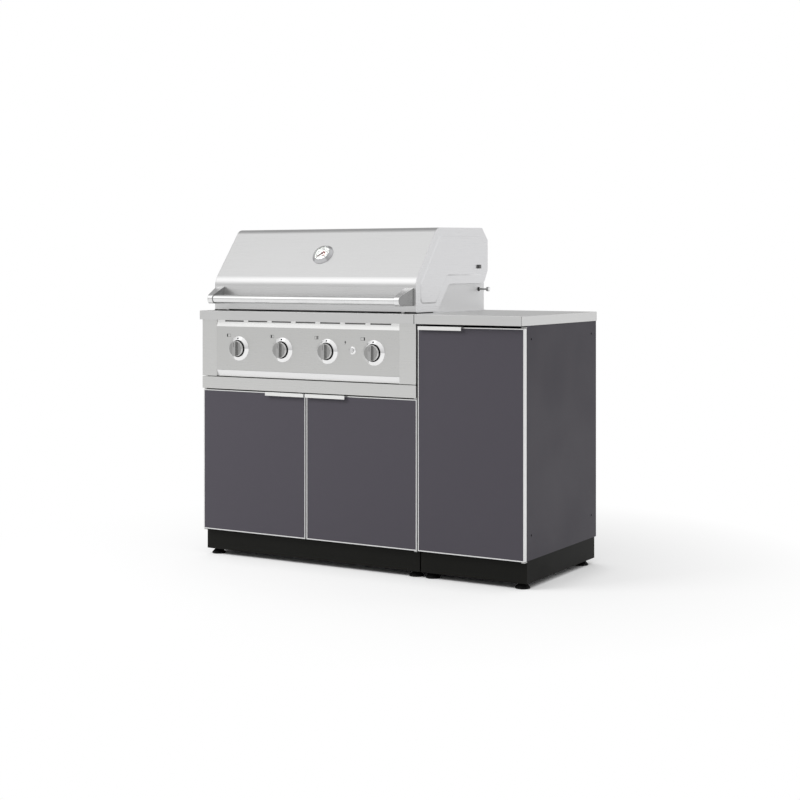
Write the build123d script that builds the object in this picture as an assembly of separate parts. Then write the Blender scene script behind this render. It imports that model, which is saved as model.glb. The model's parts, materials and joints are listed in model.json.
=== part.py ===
from build123d import *
from math import cos, radians, sin, tan
import os

# Outdoor kitchen cabinet set: a grill cabinet with a built-in gas grill, and a one-door storage cabinet.
# X runs to the right along the front, Y runs to the back, Z is up and the floor is at Z = 0.
# Sizes are millimetres. The feet are wound in, which is the low setting.

# Whole set
SET_WIDTH = 1320.8
COUNTER_DEPTH = 609.6
COUNTER_HEIGHT = 901.7
HOOD_RISE = 304.8
HANDLE_REACH = 17.8
SHEET = 2.0
RUNNING_GAP = 0.3
SHAFT_GAP = 0.05

# Countertops, folded from sheet
COUNTER_SKIN = 1.5
COUNTER_DROP = 32.8
COUNTER_EDGE_RADIUS = 2.0
SIDE_OVERHANG = 2.7
BACK_OVERHANG = 2.0
CUTOUT_GAP = 1.5

# Cabinet boxes
CARCASS_BOTTOM = 95.0
SIDE_THICKNESS = 18.0
FRONT_LIP = 55.0
REAR_LIP = 65.0
FLOOR_RISE = 25.0
STRETCHER_WIDTH = 25.0
STRETCHER_HEIGHT = 30.0
JOINING_HOLE_RADIUS = 4.0
JOINING_FRONT_INSET = 33.0
JOINING_REAR_INSET = 42.0
JOINING_RISE = 81.0
JOINING_DROP = 45.0
GAS_HOLE_RADIUS = 30.0
GAS_HOLE_OFFSET = 300.0
GAS_HOLE_RISE = 120.0
BACK_VENT_COUNT = 6
BACK_VENT_LENGTH = 80.0
BACK_VENT_HEIGHT = 10.0
BACK_VENT_PITCH = 110.0
BACK_VENT_RISE = 430.0

# Shelf in the storage cabinet
SHELF_HEIGHT = 480.0
SHELF_FLANGE = 25.0
SHELF_FRONT_INSET = 12.0
SHELF_SIDE_GAP = 1.0
PIN_RADIUS = 3.5
PIN_LENGTH = 12.0
PIN_INSET = 35.0

# Plinths and levelling feet
PLINTH_BOTTOM = 20.3
PLINTH_BOARD = 15.0
PLINTH_REAR_INSET = 15.0
SOCKET_SIZE = 40.0
FOOT_INSET = 30.0
FOOT_REAR_INSET = 48.0
FOOT_PAD_RADIUS = 25.0
FOOT_PAD_RIM = 4.0
FOOT_NECK_RADIUS = 12.0
FOOT_PAD_HEIGHT = 18.0
FOOT_STEM_RADIUS = 5.0
FOOT_TRAVEL = 25.4
FOOT_GRIP = 28.0

# Doors, pulls and pivot brackets
DOOR_SETBACK = 22.9
DOOR_THICKNESS = 18.0
DOOR_REAR_GAP = 3.6
DOOR_SIDE_REVEAL = 2.2
DOOR_MEETING_GAP = 5.0
DOOR_BOTTOM = 95.5
GRILL_DOOR_TOP = 610.5
STORAGE_DOOR_DROP = 8.9
DOOR_EDGE = 3.5
DOOR_FACE_INSET = 0.8
PULL_LENGTH = 167.0
PULL_LIP = 13.0
PULL_REACH = 12.0
PULL_WALL = 1.6
PULL_SEAT = 10.0
STORAGE_PULL_INSET = 6.0
PIVOT_INSET = 6.5
PIVOT_RADIUS = 2.5
PIVOT_DEPTH = 12.0
PIVOT_PLAY = 1.2
BRACKET_THICKNESS = 3.0
BRACKET_WIDTH = 12.0

# Stainless front of the grill cabinet
FASCIA_SETBACK = 16.0
FASCIA_SKIN = 1.5
FASCIA_REVEAL = 1.5
RAIL_GAP = 5.0
RAIL_HEIGHT = 43.7
FASCIA_GAP = 2.5
FASCIA_TOP_GAP = 0.5

# Control panel
PANEL_SIDE_MARGIN = 66.7
PANEL_BROW = 23.7
PANEL_BEVEL_DEPTH = 5.0
VENT_COUNT = 7
VENT_LENGTH = 84.0
VENT_PITCH = 104.4
VENT_HEIGHT = 6.0

# Knobs, bezels and igniter button
KNOB_COUNT = 4
KNOB_PITCH = 192.6
KNOB_RADIUS = 28.5
KNOB_TAPER = 1.2
KNOB_DEPTH = 19.0
KNOB_GRIP_WIDTH = 13.5
KNOB_GRIP_DEPTH = 9.5
KNOB_GRIP_ROUND = 1.5
KNOB_BACK_GAP = 4.5
KNOB_BORE_DEPTH = 14.0
KNOB_PUSH = 3.0
BEZEL_RADIUS = 44.0
BEZEL_FRONT_RADIUS = 33.5
BEZEL_BORE_RADIUS = 31.0
BEZEL_HEIGHT = 9.0
BEZEL_EDGE = 1.5
BEZEL_FLOOR = 1.0
BUTTON_OFFSET = 201.0
BUTTON_RISE = 6.0
BUTTON_RADIUS = 7.5
BUTTON_PROUD = 2.5
BUTTON_DOME = 1.5
BUTTON_TRAVEL = 2.5
BUTTON_TAIL = 12.0
BUTTON_BEZEL_RADIUS = 14.0
BUTTON_BEZEL_HEIGHT = 5.0

# Gas manifold, valves and burners
STEM_RADIUS = 4.0
PANEL_STEM_HOLE_RADIUS = 8.0
VALVE_SIZE = 26.0
VALVE_FRONT = 24.0
VALVE_BACK = 60.0
VALVE_BORE_DEPTH = 22.0
MANIFOLD_RADIUS = 11.0
MANIFOLD_SETBACK = 50.0
MANIFOLD_OVERRUN = 55.0
MANIFOLD_LUG = 24.0
SPUD_RADIUS = 4.0
SPUD_LENGTH = 10.0
BURNER_RADIUS = 12.5
BURNER_WALL = 1.5
BURNER_START = 64.0
BURNER_HOLE_GAP = 0.1

# Firebox
FIREBOX_SETBACK = 77.0
FIREBOX_REAR_MARGIN = 39.0
FIREBOX_HALF_WIDTH = 426.0
FIREBOX_CABINET_MARGIN = 31.2
FIREBOX_TRAY_GAP = 8.0
FIREBOX_FRONT_RISE = 33.3
FIREBOX_SIDE_RISE = 102.3
FIREBOX_REAR_RISE = 73.3
FIREBOX_SLOPE_RUN = 168.0
FIREBOX_FLANGE = 8.0
EAR_RADIUS = 24.0
LEDGE_WIDTH = 15.0
TAMER_LEDGE_DROP = 86.7
GRATE_LEDGE_DROP = 8.7

# Flame tamers, cooking grates and warming rack
TAMER_WIDTH = 150.0
TAMER_RISE = 32.0
TAMER_END_GAP = 2.0
GRATE_COUNT = 4
GRATE_RODS = 9
GRATE_GAP = 4.0
ROD_RADIUS = 4.0
ROD_SIDES = 8
GRATE_BAR_WIDTH = 10.0
GRATE_BAR_DEPTH = 8.0
GRATE_BAR_INSET = 60.0
RACK_RODS = 6
RACK_FRONT = 300.0
RACK_DEPTH = 120.0
RACK_ROD_RADIUS = 3.0
RACK_TIES = 3

# Drip tray and runners
TRAY_SIDE_MARGIN = 46.0
TRAY_STRIP = 24.3
TRAY_LIFT = 3.5
TRAY_RISE = 14.0
TRAY_REAR_GAP = 11.8
TRAY_WALL = 1.5
TRAY_LIP_GAP = 0.5
TRAY_LIP_DEPTH = 8.0
RUNNER_FOOT = 16.0
RUNNER_HANG = 12.0

# Hood
LID_SIDE_GAP = 3.0
LID_SETBACK = 58.8
LID_REAR_MARGIN = 17.8
LID_GAP = 3.8
LID_KNEE_RISE = 106.5
LID_SLOPE = 51.6
LID_KNEE_RADIUS = 55.0
LID_BROW_RADIUS = 40.0
LID_TOP_FALL = 5.5
LID_FOLD_RADIUS = 4.0
LID_REAR_CHAMFER_RUN = 45.0
LID_REAR_CHAMFER_DROP = 44.0
LID_TUCK_RISE = 103.5
LID_TUCK_RUN = 30.0
LID_TUCK_HEIGHT = 41.0
LID_CORNER_RADIUS = 30.0
LID_SKIN = 2.0
LID_REAR_CLEARANCE = 3.0
CAP_CUT_RISE = 96.5
CAP_CUT_FRONT = 292.8
CAP_FOOT_BACK = 210.3
CAP_PLATE = 2.0
CAP_EMBOSS = 3.0
CAP_BORDER = 29.0
CAP_BEVEL = 5.0
CAP_ROUND = 20.0
LID_AXIS_MARGIN = 95.2
LID_AXIS_RISE = 161.8

# Hood pivot bolts
BOLT_RADIUS = 5.0
BOLT_COLLAR_RADIUS = 9.0
BOLT_NUT = 14.0
BOLT_NUT_THICKNESS = 7.0
BOLT_HEAD_THICKNESS = 6.0

# Handle
HANDLE_RADIUS = 14.6
HANDLE_END_INSET = 21.8
HANDLE_RISE = 40.2
HANDLE_BRACKET_WIDTH = 20.7
HANDLE_BOSS_RADIUS = 17.6
BRACKET_FOOT_RISE = 22.5
BRACKET_FOOT_HEIGHT = 62.0
BRACKET_FLARE = 16.0

# Thermometer on the slope of the hood
GAUGE_RISE = 94.0
GAUGE_RADIUS = 41.0
GAUGE_RIM_RADIUS = 32.5
GAUGE_BORE_RADIUS = 30.5
GAUGE_HEIGHT = 12.5
GAUGE_SHOULDER = 2.0
GAUGE_FLOOR = 6.5
GAUGE_DIAL = 1.2
GAUGE_STEM_RADIUS = 3.5
GAUGE_STEM_LENGTH = 70.0
GAUGE_HOLE_GAP = 0.5
LENS_THICKNESS = 1.2
LENS_DROP = 0.3
SPINDLE_RADIUS = 1.5
SPINDLE_HEIGHT = 3.0
NEEDLE_HUB_RADIUS = 4.0
NEEDLE_LIFT = 1.2
NEEDLE_THICKNESS = 1.0
NEEDLE_LENGTH = 25.0
NEEDLE_TAIL = 11.0
NEEDLE_WIDTH = 2.4
NEEDLE_TAIL_WIDTH = 5.0
NEEDLE_REST = 225.0

# Rotisserie stud
STUD_MARGIN = 81.6
STUD_RISE = 79.0
STUD_LENGTH = 44.0
STUD_RADIUS = 3.5
STUD_COLLAR_RADIUS = 7.5
STUD_GAP = 0.6
STUD_CAP_RADIUS = 8.0
STUD_CAP_LENGTH = 9.0

# Planes and levels that follow from the sizes above
counter_front = HANDLE_REACH - (COUNTER_DEPTH + HANDLE_REACH) / 2
counter_back = counter_front + COUNTER_DEPTH
counter_bottom = COUNTER_HEIGHT - COUNTER_DROP
set_left = -SET_WIDTH / 2
set_right = SET_WIDTH / 2
grill_half_width = FIREBOX_HALF_WIDTH + FIREBOX_CABINET_MARGIN
seam = set_left + 2 * grill_half_width
grill_middle = (set_left + seam) / 2
door_face = counter_front + DOOR_SETBACK
storage_door_top = counter_bottom - STORAGE_DOOR_DROP
carcass_front = door_face + DOOR_THICKNESS + DOOR_REAR_GAP
carcass_back = counter_back - BACK_OVERHANG
carcass_top = COUNTER_HEIGHT - COUNTER_SKIN
plinth_back = carcass_back - PLINTH_REAR_INSET
fascia_front = counter_front + FASCIA_SETBACK
rail_bottom = GRILL_DOOR_TOP + RAIL_GAP
rail_top = rail_bottom + RAIL_HEIGHT
fascia_bottom = rail_top + FASCIA_GAP
fascia_top = counter_bottom - FASCIA_TOP_GAP
panel_front = fascia_front
panel_left = set_left + PANEL_SIDE_MARGIN
panel_right = seam - PANEL_SIDE_MARGIN
panel_face_bottom = fascia_bottom + TRAY_STRIP
panel_face_top = fascia_top - PANEL_BROW
knob_height = (panel_face_bottom + panel_face_top) / 2
knob_places = [grill_middle + KNOB_PITCH * (k - (KNOB_COUNT - 1) / 2) for k in range(KNOB_COUNT)]
valve_front = counter_front + VALVE_FRONT
valve_back = counter_front + VALVE_BACK
manifold_y = counter_front + MANIFOLD_SETBACK
tray_bottom = fascia_bottom + TRAY_LIFT
firebox_front = counter_front + FIREBOX_SETBACK
firebox_back = counter_back - FIREBOX_REAR_MARGIN
firebox_left = grill_middle - FIREBOX_HALF_WIDTH
firebox_right = grill_middle + FIREBOX_HALF_WIDTH
firebox_bottom = tray_bottom + TRAY_RISE + FIREBOX_TRAY_GAP
firebox_front_top = COUNTER_HEIGHT + FIREBOX_FRONT_RISE
firebox_side_top = COUNTER_HEIGHT + FIREBOX_SIDE_RISE
firebox_rear_top = COUNTER_HEIGHT + FIREBOX_REAR_RISE
flange_top = COUNTER_HEIGHT + SHEET
tamer_ledge = COUNTER_HEIGHT - TAMER_LEDGE_DROP
grate_ledge = COUNTER_HEIGHT - GRATE_LEDGE_DROP
tray_back = firebox_back - TRAY_REAR_GAP
tray_half_width = FIREBOX_HALF_WIDTH - TRAY_SIDE_MARGIN
overall_height = COUNTER_HEIGHT + HOOD_RISE
lid_front = counter_front + LID_SETBACK
lid_back = counter_back - LID_REAR_MARGIN
lid_bottom = COUNTER_HEIGHT + LID_GAP
lid_knee = lid_bottom + LID_KNEE_RISE
lid_brow_height = overall_height - LID_TOP_FALL
lid_brow = lid_front + (lid_brow_height - lid_knee) / tan(radians(LID_SLOPE))
lid_rear_edge = lid_back - LID_REAR_CHAMFER_RUN
lid_middle = (lid_brow + lid_rear_edge) / 2
lid_tuck_back = lid_back - LID_TUCK_RUN
lid_tuck_low = lid_bottom + LID_TUCK_RISE
lid_rear_low = lid_tuck_low + LID_TUCK_HEIGHT
lid_axis = counter_back - LID_AXIS_MARGIN
lid_axis_height = COUNTER_HEIGHT + LID_AXIS_RISE
cap_back = FIREBOX_HALF_WIDTH + LID_SIDE_GAP
cap_crest = cap_back + CAP_PLATE + CAP_EMBOSS
cap_cut = lid_bottom + CAP_CUT_RISE
handle_height = lid_bottom + HANDLE_RISE
handle_half_length = cap_back - HANDLE_END_INSET
bracket_foot_low = lid_bottom + BRACKET_FOOT_RISE
bracket_foot_high = bracket_foot_low + BRACKET_FOOT_HEIGHT
stud_height = COUNTER_HEIGHT + STUD_RISE
slope_up = Vector(0, cos(radians(LID_SLOPE)), sin(radians(LID_SLOPE)))
slope_out = Vector(0, -sin(radians(LID_SLOPE)), cos(radians(LID_SLOPE)))
gauge_seat = Vector(grill_middle, lid_front, lid_knee) + slope_up * (GAUGE_RISE / sin(radians(LID_SLOPE)))


def block(x0, x1, y0, y1, z0, z1):
    """A box between two corners."""
    return Pos((x0 + x1) / 2, (y0 + y1) / 2, (z0 + z1) / 2) * Box(x1 - x0, y1 - y0, z1 - z0)


def prism(outline, x0, x1):
    """A closed (Y, Z) outline carried along X."""
    return Pos(x0, 0, 0) * extrude(Plane.YZ * make_face(outline), x1 - x0)


def rod(start, end, radius):
    """A round bar between two points."""
    run = Vector(*end) - Vector(*start)
    return extrude(Plane(origin=start, z_dir=run) * Circle(radius), run.length)


def wire(start, end, radius):
    """A drawn bar with flats, between two points."""
    run = Vector(*end) - Vector(*start)
    across = RegularPolygon(radius, ROD_SIDES, major_radius=False, rotation=180 / ROD_SIDES)
    return extrude(Plane(origin=start, z_dir=run) * across, run.length)


def turned(outline, seat, outward):
    """A (radius, height) outline spun about the axis that stands on a seat."""
    profile = Plane.XZ * make_face(Polyline(*outline, close=True))
    return Plane(origin=seat, x_dir=(1, 0, 0), z_dir=outward) * revolve(profile, Axis.Z)


def pan(x0, x1, y0, y1, z0, z1, wall):
    """A folded sheet pan, closed at the front, top, bottom and ends, open at the back."""
    hollow = block(x0 + wall, x1 - wall, y0 + wall, y1, z0 + wall, z1 - wall)
    return block(x0, x1, y0, y1, z0, z1) - hollow


def countertop(left, right):
    """A stainless top with folded edges, open underneath."""
    body = block(left, right, counter_front, counter_back, counter_bottom, COUNTER_HEIGHT)
    rim = body.faces().sort_by(Axis.Z)[-1].edges() + body.edges().filter_by(Axis.Z)
    hollow = block(
        left + COUNTER_SKIN, right - COUNTER_SKIN,
        counter_front + COUNTER_SKIN, counter_back - COUNTER_SKIN,
        counter_bottom, carcass_top,
    )
    return fillet(rim, COUNTER_EDGE_RADIUS) - hollow


def joining_places():
    """The (Y, Z) places of the holes where the next cabinet bolts on."""
    rows = (carcass_front + JOINING_FRONT_INSET, carcass_back - JOINING_REAR_INSET)
    levels = (CARCASS_BOTTOM + JOINING_RISE, counter_bottom - JOINING_DROP)
    return [(y, z) for y in rows for z in levels]


def side_panel(outer, inward):
    """A side folded from one sheet, with lips along its front and rear edges."""
    inner = outer + inward * SIDE_THICKNESS
    skin = outer + inward * SHEET
    lip = inner - inward * SHEET

    def slab(a, b, y0, y1):
        return block(min(a, b), max(a, b), y0, y1, CARCASS_BOTTOM, carcass_top)

    body = slab(outer, inner, carcass_front, carcass_back)
    body -= slab(skin, lip, carcass_front + SHEET, carcass_back - SHEET)
    body -= slab(lip, inner, carcass_front + FRONT_LIP, carcass_back - REAR_LIP)
    for y, z in joining_places():
        body -= rod((outer, y, z), (inner, y, z), JOINING_HOLE_RADIUS)
    return body


def floor_pan(left, right):
    """A cabinet floor with its edges folded down."""
    back = carcass_back - SHEET
    top = CARCASS_BOTTOM + FLOOR_RISE
    hollow = block(
        left + SHEET, right - SHEET, carcass_front + SHEET, back - SHEET, CARCASS_BOTTOM, top - SHEET
    )
    return block(left, right, carcass_front, back, CARCASS_BOTTOM, top) - hollow


def back_panel(left, right):
    """A flat back between the sides."""
    return block(left, right, carcass_back - SHEET, carcass_back, CARCASS_BOTTOM, carcass_top)


def vented_back(left, right):
    """The grill cabinet's back, with vent slots and the hole for the gas line."""
    body = back_panel(left, right)
    middle = (left + right) / 2
    hole_x = middle + GAS_HOLE_OFFSET
    hole_z = CARCASS_BOTTOM + GAS_HOLE_RISE
    body -= rod((hole_x, carcass_back - SHEET, hole_z), (hole_x, carcass_back, hole_z), GAS_HOLE_RADIUS)
    for k in range(BACK_VENT_COUNT):
        x = middle + BACK_VENT_PITCH * (k - (BACK_VENT_COUNT - 1) / 2)
        z = CARCASS_BOTTOM + BACK_VENT_RISE
        body -= block(
            x - BACK_VENT_LENGTH / 2, x + BACK_VENT_LENGTH / 2,
            carcass_back - SHEET, carcass_back, z, z + BACK_VENT_HEIGHT,
        )
    return body


def foot_places(left, right):
    """The (X, Y) places of a cabinet's four feet."""
    rows = (carcass_front + FOOT_INSET, plinth_back - FOOT_REAR_INSET)
    return [(x, y) for x in (left + FOOT_INSET, right - FOOT_INSET) for y in rows]


def plinth(left, right):
    """Four plinth boards with a threaded socket block in each corner."""
    front, back = carcass_front, plinth_back
    inner_front, inner_back = front + PLINTH_BOARD, back - PLINTH_BOARD
    inner_left, inner_right = left + PLINTH_BOARD, right - PLINTH_BOARD
    top = CARCASS_BOTTOM
    boards = [
        block(left, right, front, inner_front, PLINTH_BOTTOM, top),
        block(left, right, inner_back, back, PLINTH_BOTTOM, top),
        block(left, inner_left, inner_front, inner_back, PLINTH_BOTTOM, top),
        block(inner_right, right, inner_front, inner_back, PLINTH_BOTTOM, top),
    ]
    sockets = []
    for x, y in foot_places(left, right):
        at_left = x < (left + right) / 2
        at_front = y < (front + back) / 2
        x0 = inner_left if at_left else inner_right - SOCKET_SIZE
        y0 = inner_front if at_front else y - SOCKET_SIZE / 2
        y1 = y + SOCKET_SIZE / 2 if at_front else inner_back
        socket = block(x0, x0 + SOCKET_SIZE, y0, y1, PLINTH_BOTTOM, top)
        bore = rod((x, y, PLINTH_BOTTOM), (x, y, top), FOOT_STEM_RADIUS + SHAFT_GAP)
        sockets.append(socket - bore)
    return boards + sockets


def foot(x, y):
    """A levelling foot: a bell-shaped pad on a stem that winds out of its socket."""
    stem_top = PLINTH_BOTTOM + FOOT_TRAVEL + FOOT_GRIP
    outline = [
        (0, 0), (FOOT_PAD_RADIUS, 0), (FOOT_PAD_RADIUS, FOOT_PAD_RIM),
        (FOOT_NECK_RADIUS, FOOT_PAD_HEIGHT), (FOOT_STEM_RADIUS, FOOT_PAD_HEIGHT),
        (FOOT_STEM_RADIUS, stem_top), (0, stem_top),
    ]
    return turned(outline, (x, y, 0), (0, 0, 1))


def stretchers(left, right):
    """Folded angles across the top of a cabinet, which the counter rests on."""
    low = carcass_top - STRETCHER_HEIGHT
    front_end = carcass_front + STRETCHER_WIDTH
    back = carcass_back - SHEET
    back_end = back - STRETCHER_WIDTH
    front = block(left, right, carcass_front, front_end, low, carcass_top)
    front -= block(left, right, carcass_front + SHEET, front_end, low, carcass_top - SHEET)
    rear = block(left, right, back_end, back, low, carcass_top)
    rear -= block(left, right, back_end, back - SHEET, low, carcass_top - SHEET)
    return [front, rear]


def shelf(left, right):
    """The shelf, with its front and rear edges folded down."""
    y0 = carcass_front + SHELF_FRONT_INSET
    y1 = carcass_back - SHEET - SHELF_FRONT_INSET
    x0, x1 = left + SHELF_SIDE_GAP, right - SHELF_SIDE_GAP
    low = SHELF_HEIGHT - SHELF_FLANGE
    under = block(x0, x1, y0 + SHEET, y1 - SHEET, low, SHELF_HEIGHT - SHEET)
    return block(x0, x1, y0, y1, low, SHELF_HEIGHT) - under


def shelf_pins(left, right):
    """Four pins on the lips of the side panels."""
    z = SHELF_HEIGHT - SHEET - PIN_RADIUS
    pins = []
    for y in (carcass_front + PIN_INSET, carcass_back - PIN_INSET):
        pins.append(rod((left, y, z), (left + PIN_LENGTH, y, z), PIN_RADIUS))
        pins.append(rod((right - PIN_LENGTH, y, z), (right, y, z), PIN_RADIUS))
    return pins


def pivot_place(edge, inward):
    """The (X, Y) place of a door's pivot pins, near its hinge edge."""
    return edge + inward * PIVOT_INSET, door_face + PIVOT_INSET


def pivot_bracket(edge, inward, level, up):
    """A pivot bracket above (up = 1) or below (up = -1) a door, with its pin into the door."""
    x, y = pivot_place(edge, inward)
    near = level + up * PIVOT_PLAY
    far = near + up * BRACKET_THICKNESS
    side = edge + inward * BRACKET_WIDTH
    plate = block(
        min(edge, side), max(edge, side), y - PIVOT_INSET / 2, carcass_front, min(near, far), max(near, far)
    )
    return plate + rod((x, y, far), (x, y, level - up * PIVOT_DEPTH), PIVOT_RADIUS)


def door_pieces(left, right, top, edge, inward):
    """A door's edge frame (four bars) and its two-skin panel, bored for the pivot pins at one edge."""
    back = door_face + DOOR_THICKNESS
    inner_left, inner_right = left + DOOR_EDGE, right - DOOR_EDGE
    inner_low, inner_top = DOOR_BOTTOM + DOOR_EDGE, top - DOOR_EDGE
    x, y = pivot_place(edge, inward)
    bore_length = PIVOT_DEPTH + PIVOT_PLAY
    bore = rod((x, y, DOOR_BOTTOM), (x, y, DOOR_BOTTOM + bore_length), PIVOT_RADIUS + SHAFT_GAP)
    bore += rod((x, y, top - bore_length), (x, y, top), PIVOT_RADIUS + SHAFT_GAP)
    frame = [
        block(left, inner_left, door_face, back, DOOR_BOTTOM, top),
        block(inner_right, right, door_face, back, DOOR_BOTTOM, top),
        block(inner_left, inner_right, door_face, back, DOOR_BOTTOM, inner_low) - bore,
        block(inner_left, inner_right, door_face, back, inner_top, top) - bore,
    ]
    liner_front = back - DOOR_FACE_INSET - SHEET
    skin = pan(inner_left, inner_right, door_face + DOOR_FACE_INSET, liner_front, inner_low, inner_top, SHEET)
    liner = block(inner_left, inner_right, liner_front, liner_front + SHEET, inner_low, inner_top)
    return frame, [skin - bore, liner]


def pull(x0, top):
    """An edge pull: a flange on the door's top edge with a lip in front of its face."""
    front = door_face - PULL_REACH
    high = top + PULL_WALL
    low = high - PULL_LIP
    outline = Polyline(
        (door_face + PULL_SEAT, top), (door_face + PULL_SEAT, high), (front, high), (front, low),
        (front + PULL_WALL, low), (front + PULL_WALL, top), close=True,
    )
    return prism(outline, x0, x0 + PULL_LENGTH)


def control_panel():
    """The folded control panel: a face with stem holes and a button hole, under a slope with vent notches."""
    brow = panel_front + PANEL_BEVEL_DEPTH
    outline = Polyline(
        (panel_front, panel_face_bottom), (panel_front, panel_face_top), (brow, fascia_top),
        (carcass_front, fascia_top), (carcass_front, panel_face_bottom), close=True,
    )
    inner = Polyline(
        (panel_front + SHEET, panel_face_bottom + SHEET), (panel_front + SHEET, panel_face_top - SHEET),
        (brow + SHEET, fascia_top - SHEET), (carcass_front, fascia_top - SHEET),
        (carcass_front, panel_face_bottom + SHEET), close=True,
    )
    body = prism(outline, panel_left, panel_right)
    body -= prism(inner, panel_left + SHEET, panel_right - SHEET)
    slot_low = fascia_top - VENT_HEIGHT
    for k in range(VENT_COUNT):
        x = grill_middle + VENT_PITCH * (k - (VENT_COUNT - 1) / 2)
        body -= block(
            x - VENT_LENGTH / 2, x + VENT_LENGTH / 2, panel_front, brow + SHEET, slot_low, fascia_top
        )
    for x in knob_places:
        mouth = (x, panel_front, knob_height)
        body -= rod(mouth, (x, panel_front + SHEET, knob_height), PANEL_STEM_HOLE_RADIUS)
    x, z = button_place()
    return body - rod((x, panel_front, z), (x, panel_front + SHEET, z), BUTTON_RADIUS + RUNNING_GAP)


def button_place():
    """The (X, Z) place of the igniter button on the panel."""
    return grill_middle + BUTTON_OFFSET, knob_height + BUTTON_RISE


def knob_bezel(x):
    """A tapered ring round a knob, with a thin floor."""
    outline = [
        (PANEL_STEM_HOLE_RADIUS, 0), (BEZEL_RADIUS, 0), (BEZEL_RADIUS, BEZEL_EDGE),
        (BEZEL_FRONT_RADIUS, BEZEL_HEIGHT), (BEZEL_BORE_RADIUS, BEZEL_HEIGHT),
        (BEZEL_BORE_RADIUS, BEZEL_FLOOR), (PANEL_STEM_HOLE_RADIUS, BEZEL_FLOOR),
    ]
    return turned(outline, (x, panel_front, knob_height), (0, -1, 0))


def button_bezel():
    """A small dished ring round the igniter button."""
    x, z = button_place()
    bore = BUTTON_RADIUS + RUNNING_GAP
    outline = [
        (bore, 0), (BUTTON_BEZEL_RADIUS, 0), (BUTTON_BEZEL_RADIUS, BEZEL_EDGE),
        (bore + BEZEL_EDGE, BUTTON_BEZEL_HEIGHT), (bore, BUTTON_BEZEL_HEIGHT),
    ]
    return turned(outline, (x, panel_front, z), (0, -1, 0))


def igniter_button():
    """The igniter's push button, domed at its front."""
    x, z = button_place()
    front = BUTTON_BEZEL_HEIGHT + BUTTON_TRAVEL + BUTTON_PROUD
    outline = [
        (0, -BUTTON_TAIL), (BUTTON_RADIUS, -BUTTON_TAIL), (BUTTON_RADIUS, front - BUTTON_DOME),
        (BUTTON_RADIUS - BUTTON_DOME, front), (0, front),
    ]
    return turned(outline, (x, panel_front, z), (0, -1, 0))


def knob(x):
    """A knob: a tapered round body with an upright grip bar across its front."""
    back = KNOB_BACK_GAP
    shoulder = back + KNOB_DEPTH
    front = shoulder + KNOB_GRIP_DEPTH
    rim = KNOB_RADIUS - KNOB_TAPER
    outline = [(0, back), (KNOB_RADIUS, back), (rim, shoulder), (0, shoulder)]
    seat = (x, panel_front, knob_height)
    body = turned(outline, seat, (0, -1, 0))
    grip_box = block(
        x - KNOB_GRIP_WIDTH / 2, x + KNOB_GRIP_WIDTH / 2, panel_front - front, panel_front - back,
        knob_height - KNOB_RADIUS, knob_height + KNOB_RADIUS,
    )
    grip = grip_box & turned([(0, back), (rim, back), (rim, front), (0, front)], seat, (0, -1, 0))
    nose = grip.faces().sort_by(Axis.Y)[0].edges()
    body += fillet(nose, KNOB_GRIP_ROUND)
    bore_end = panel_front - back - KNOB_BORE_DEPTH
    return body - rod((x, panel_front, knob_height), (x, bore_end, knob_height), STEM_RADIUS + SHAFT_GAP)


def valve_stem(x):
    """A valve's round stem, from its bore in the valve to its bore in the knob."""
    knob_end = panel_front - KNOB_BACK_GAP - KNOB_BORE_DEPTH
    valve_end = valve_front + VALVE_BORE_DEPTH - KNOB_PUSH - RUNNING_GAP
    return rod((x, knob_end, knob_height), (x, valve_end, knob_height), STEM_RADIUS)


def gas_manifold():
    """The gas pipe with its four valves, outlet spuds and two lugs on the firebox."""
    z = knob_height
    first = knob_places[0] - MANIFOLD_OVERRUN
    last = knob_places[-1] + MANIFOLD_OVERRUN
    body = rod((first, manifold_y, z), (last, manifold_y, z), MANIFOLD_RADIUS)
    for x in (first, last - MANIFOLD_LUG):
        body += block(
            x, x + MANIFOLD_LUG, manifold_y, firebox_front, z - MANIFOLD_LUG / 2, z + MANIFOLD_LUG / 2
        )
    for x in knob_places:
        half = VALVE_SIZE / 2
        body += block(x - half, x + half, valve_front, valve_back, z - half, z + half)
        body += rod((x, valve_back, z), (x, valve_back + SPUD_LENGTH, z), SPUD_RADIUS)
    for x in knob_places:
        body -= rod((x, valve_front, z), (x, valve_front + VALVE_BORE_DEPTH, z), STEM_RADIUS + SHAFT_GAP)
    return body


def burner(x):
    """A tube burner across the firebox, from its valve to the rear wall."""
    start = (x, counter_front + BURNER_START, knob_height)
    end = (x, firebox_back - SHEET, knob_height)
    return rod(start, end, BURNER_RADIUS) - rod(start, end, BURNER_RADIUS - BURNER_WALL)


def firebox_side(outer, inward):
    """A firebox side plate, with the ear for the hood's pivot and a flange on the counter."""
    inner = outer + inward * SHEET
    edge = outer - inward * FIREBOX_FLANGE
    ear_top = lid_axis_height + EAR_RADIUS
    outline = FilletPolyline(
        (firebox_front, firebox_bottom), (firebox_back, firebox_bottom), (firebox_back, firebox_side_top),
        (lid_axis + EAR_RADIUS, firebox_side_top), (lid_axis + EAR_RADIUS, ear_top),
        (lid_axis - EAR_RADIUS, ear_top), (lid_axis - EAR_RADIUS, firebox_side_top),
        (firebox_front + FIREBOX_SLOPE_RUN, firebox_side_top), (firebox_front, firebox_front_top),
        radius=[0, 0, 0, 0, EAR_RADIUS / 2, EAR_RADIUS / 2, 0, 0, 0], close=True,
    )
    plate = prism(outline, min(outer, inner), max(outer, inner))
    plate += block(
        min(outer, edge), max(outer, edge), firebox_front, firebox_back, COUNTER_HEIGHT, flange_top
    )
    place = (lid_axis, lid_axis_height)
    return plate - rod((outer, *place), (inner, *place), BOLT_RADIUS + SHAFT_GAP)


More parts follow.
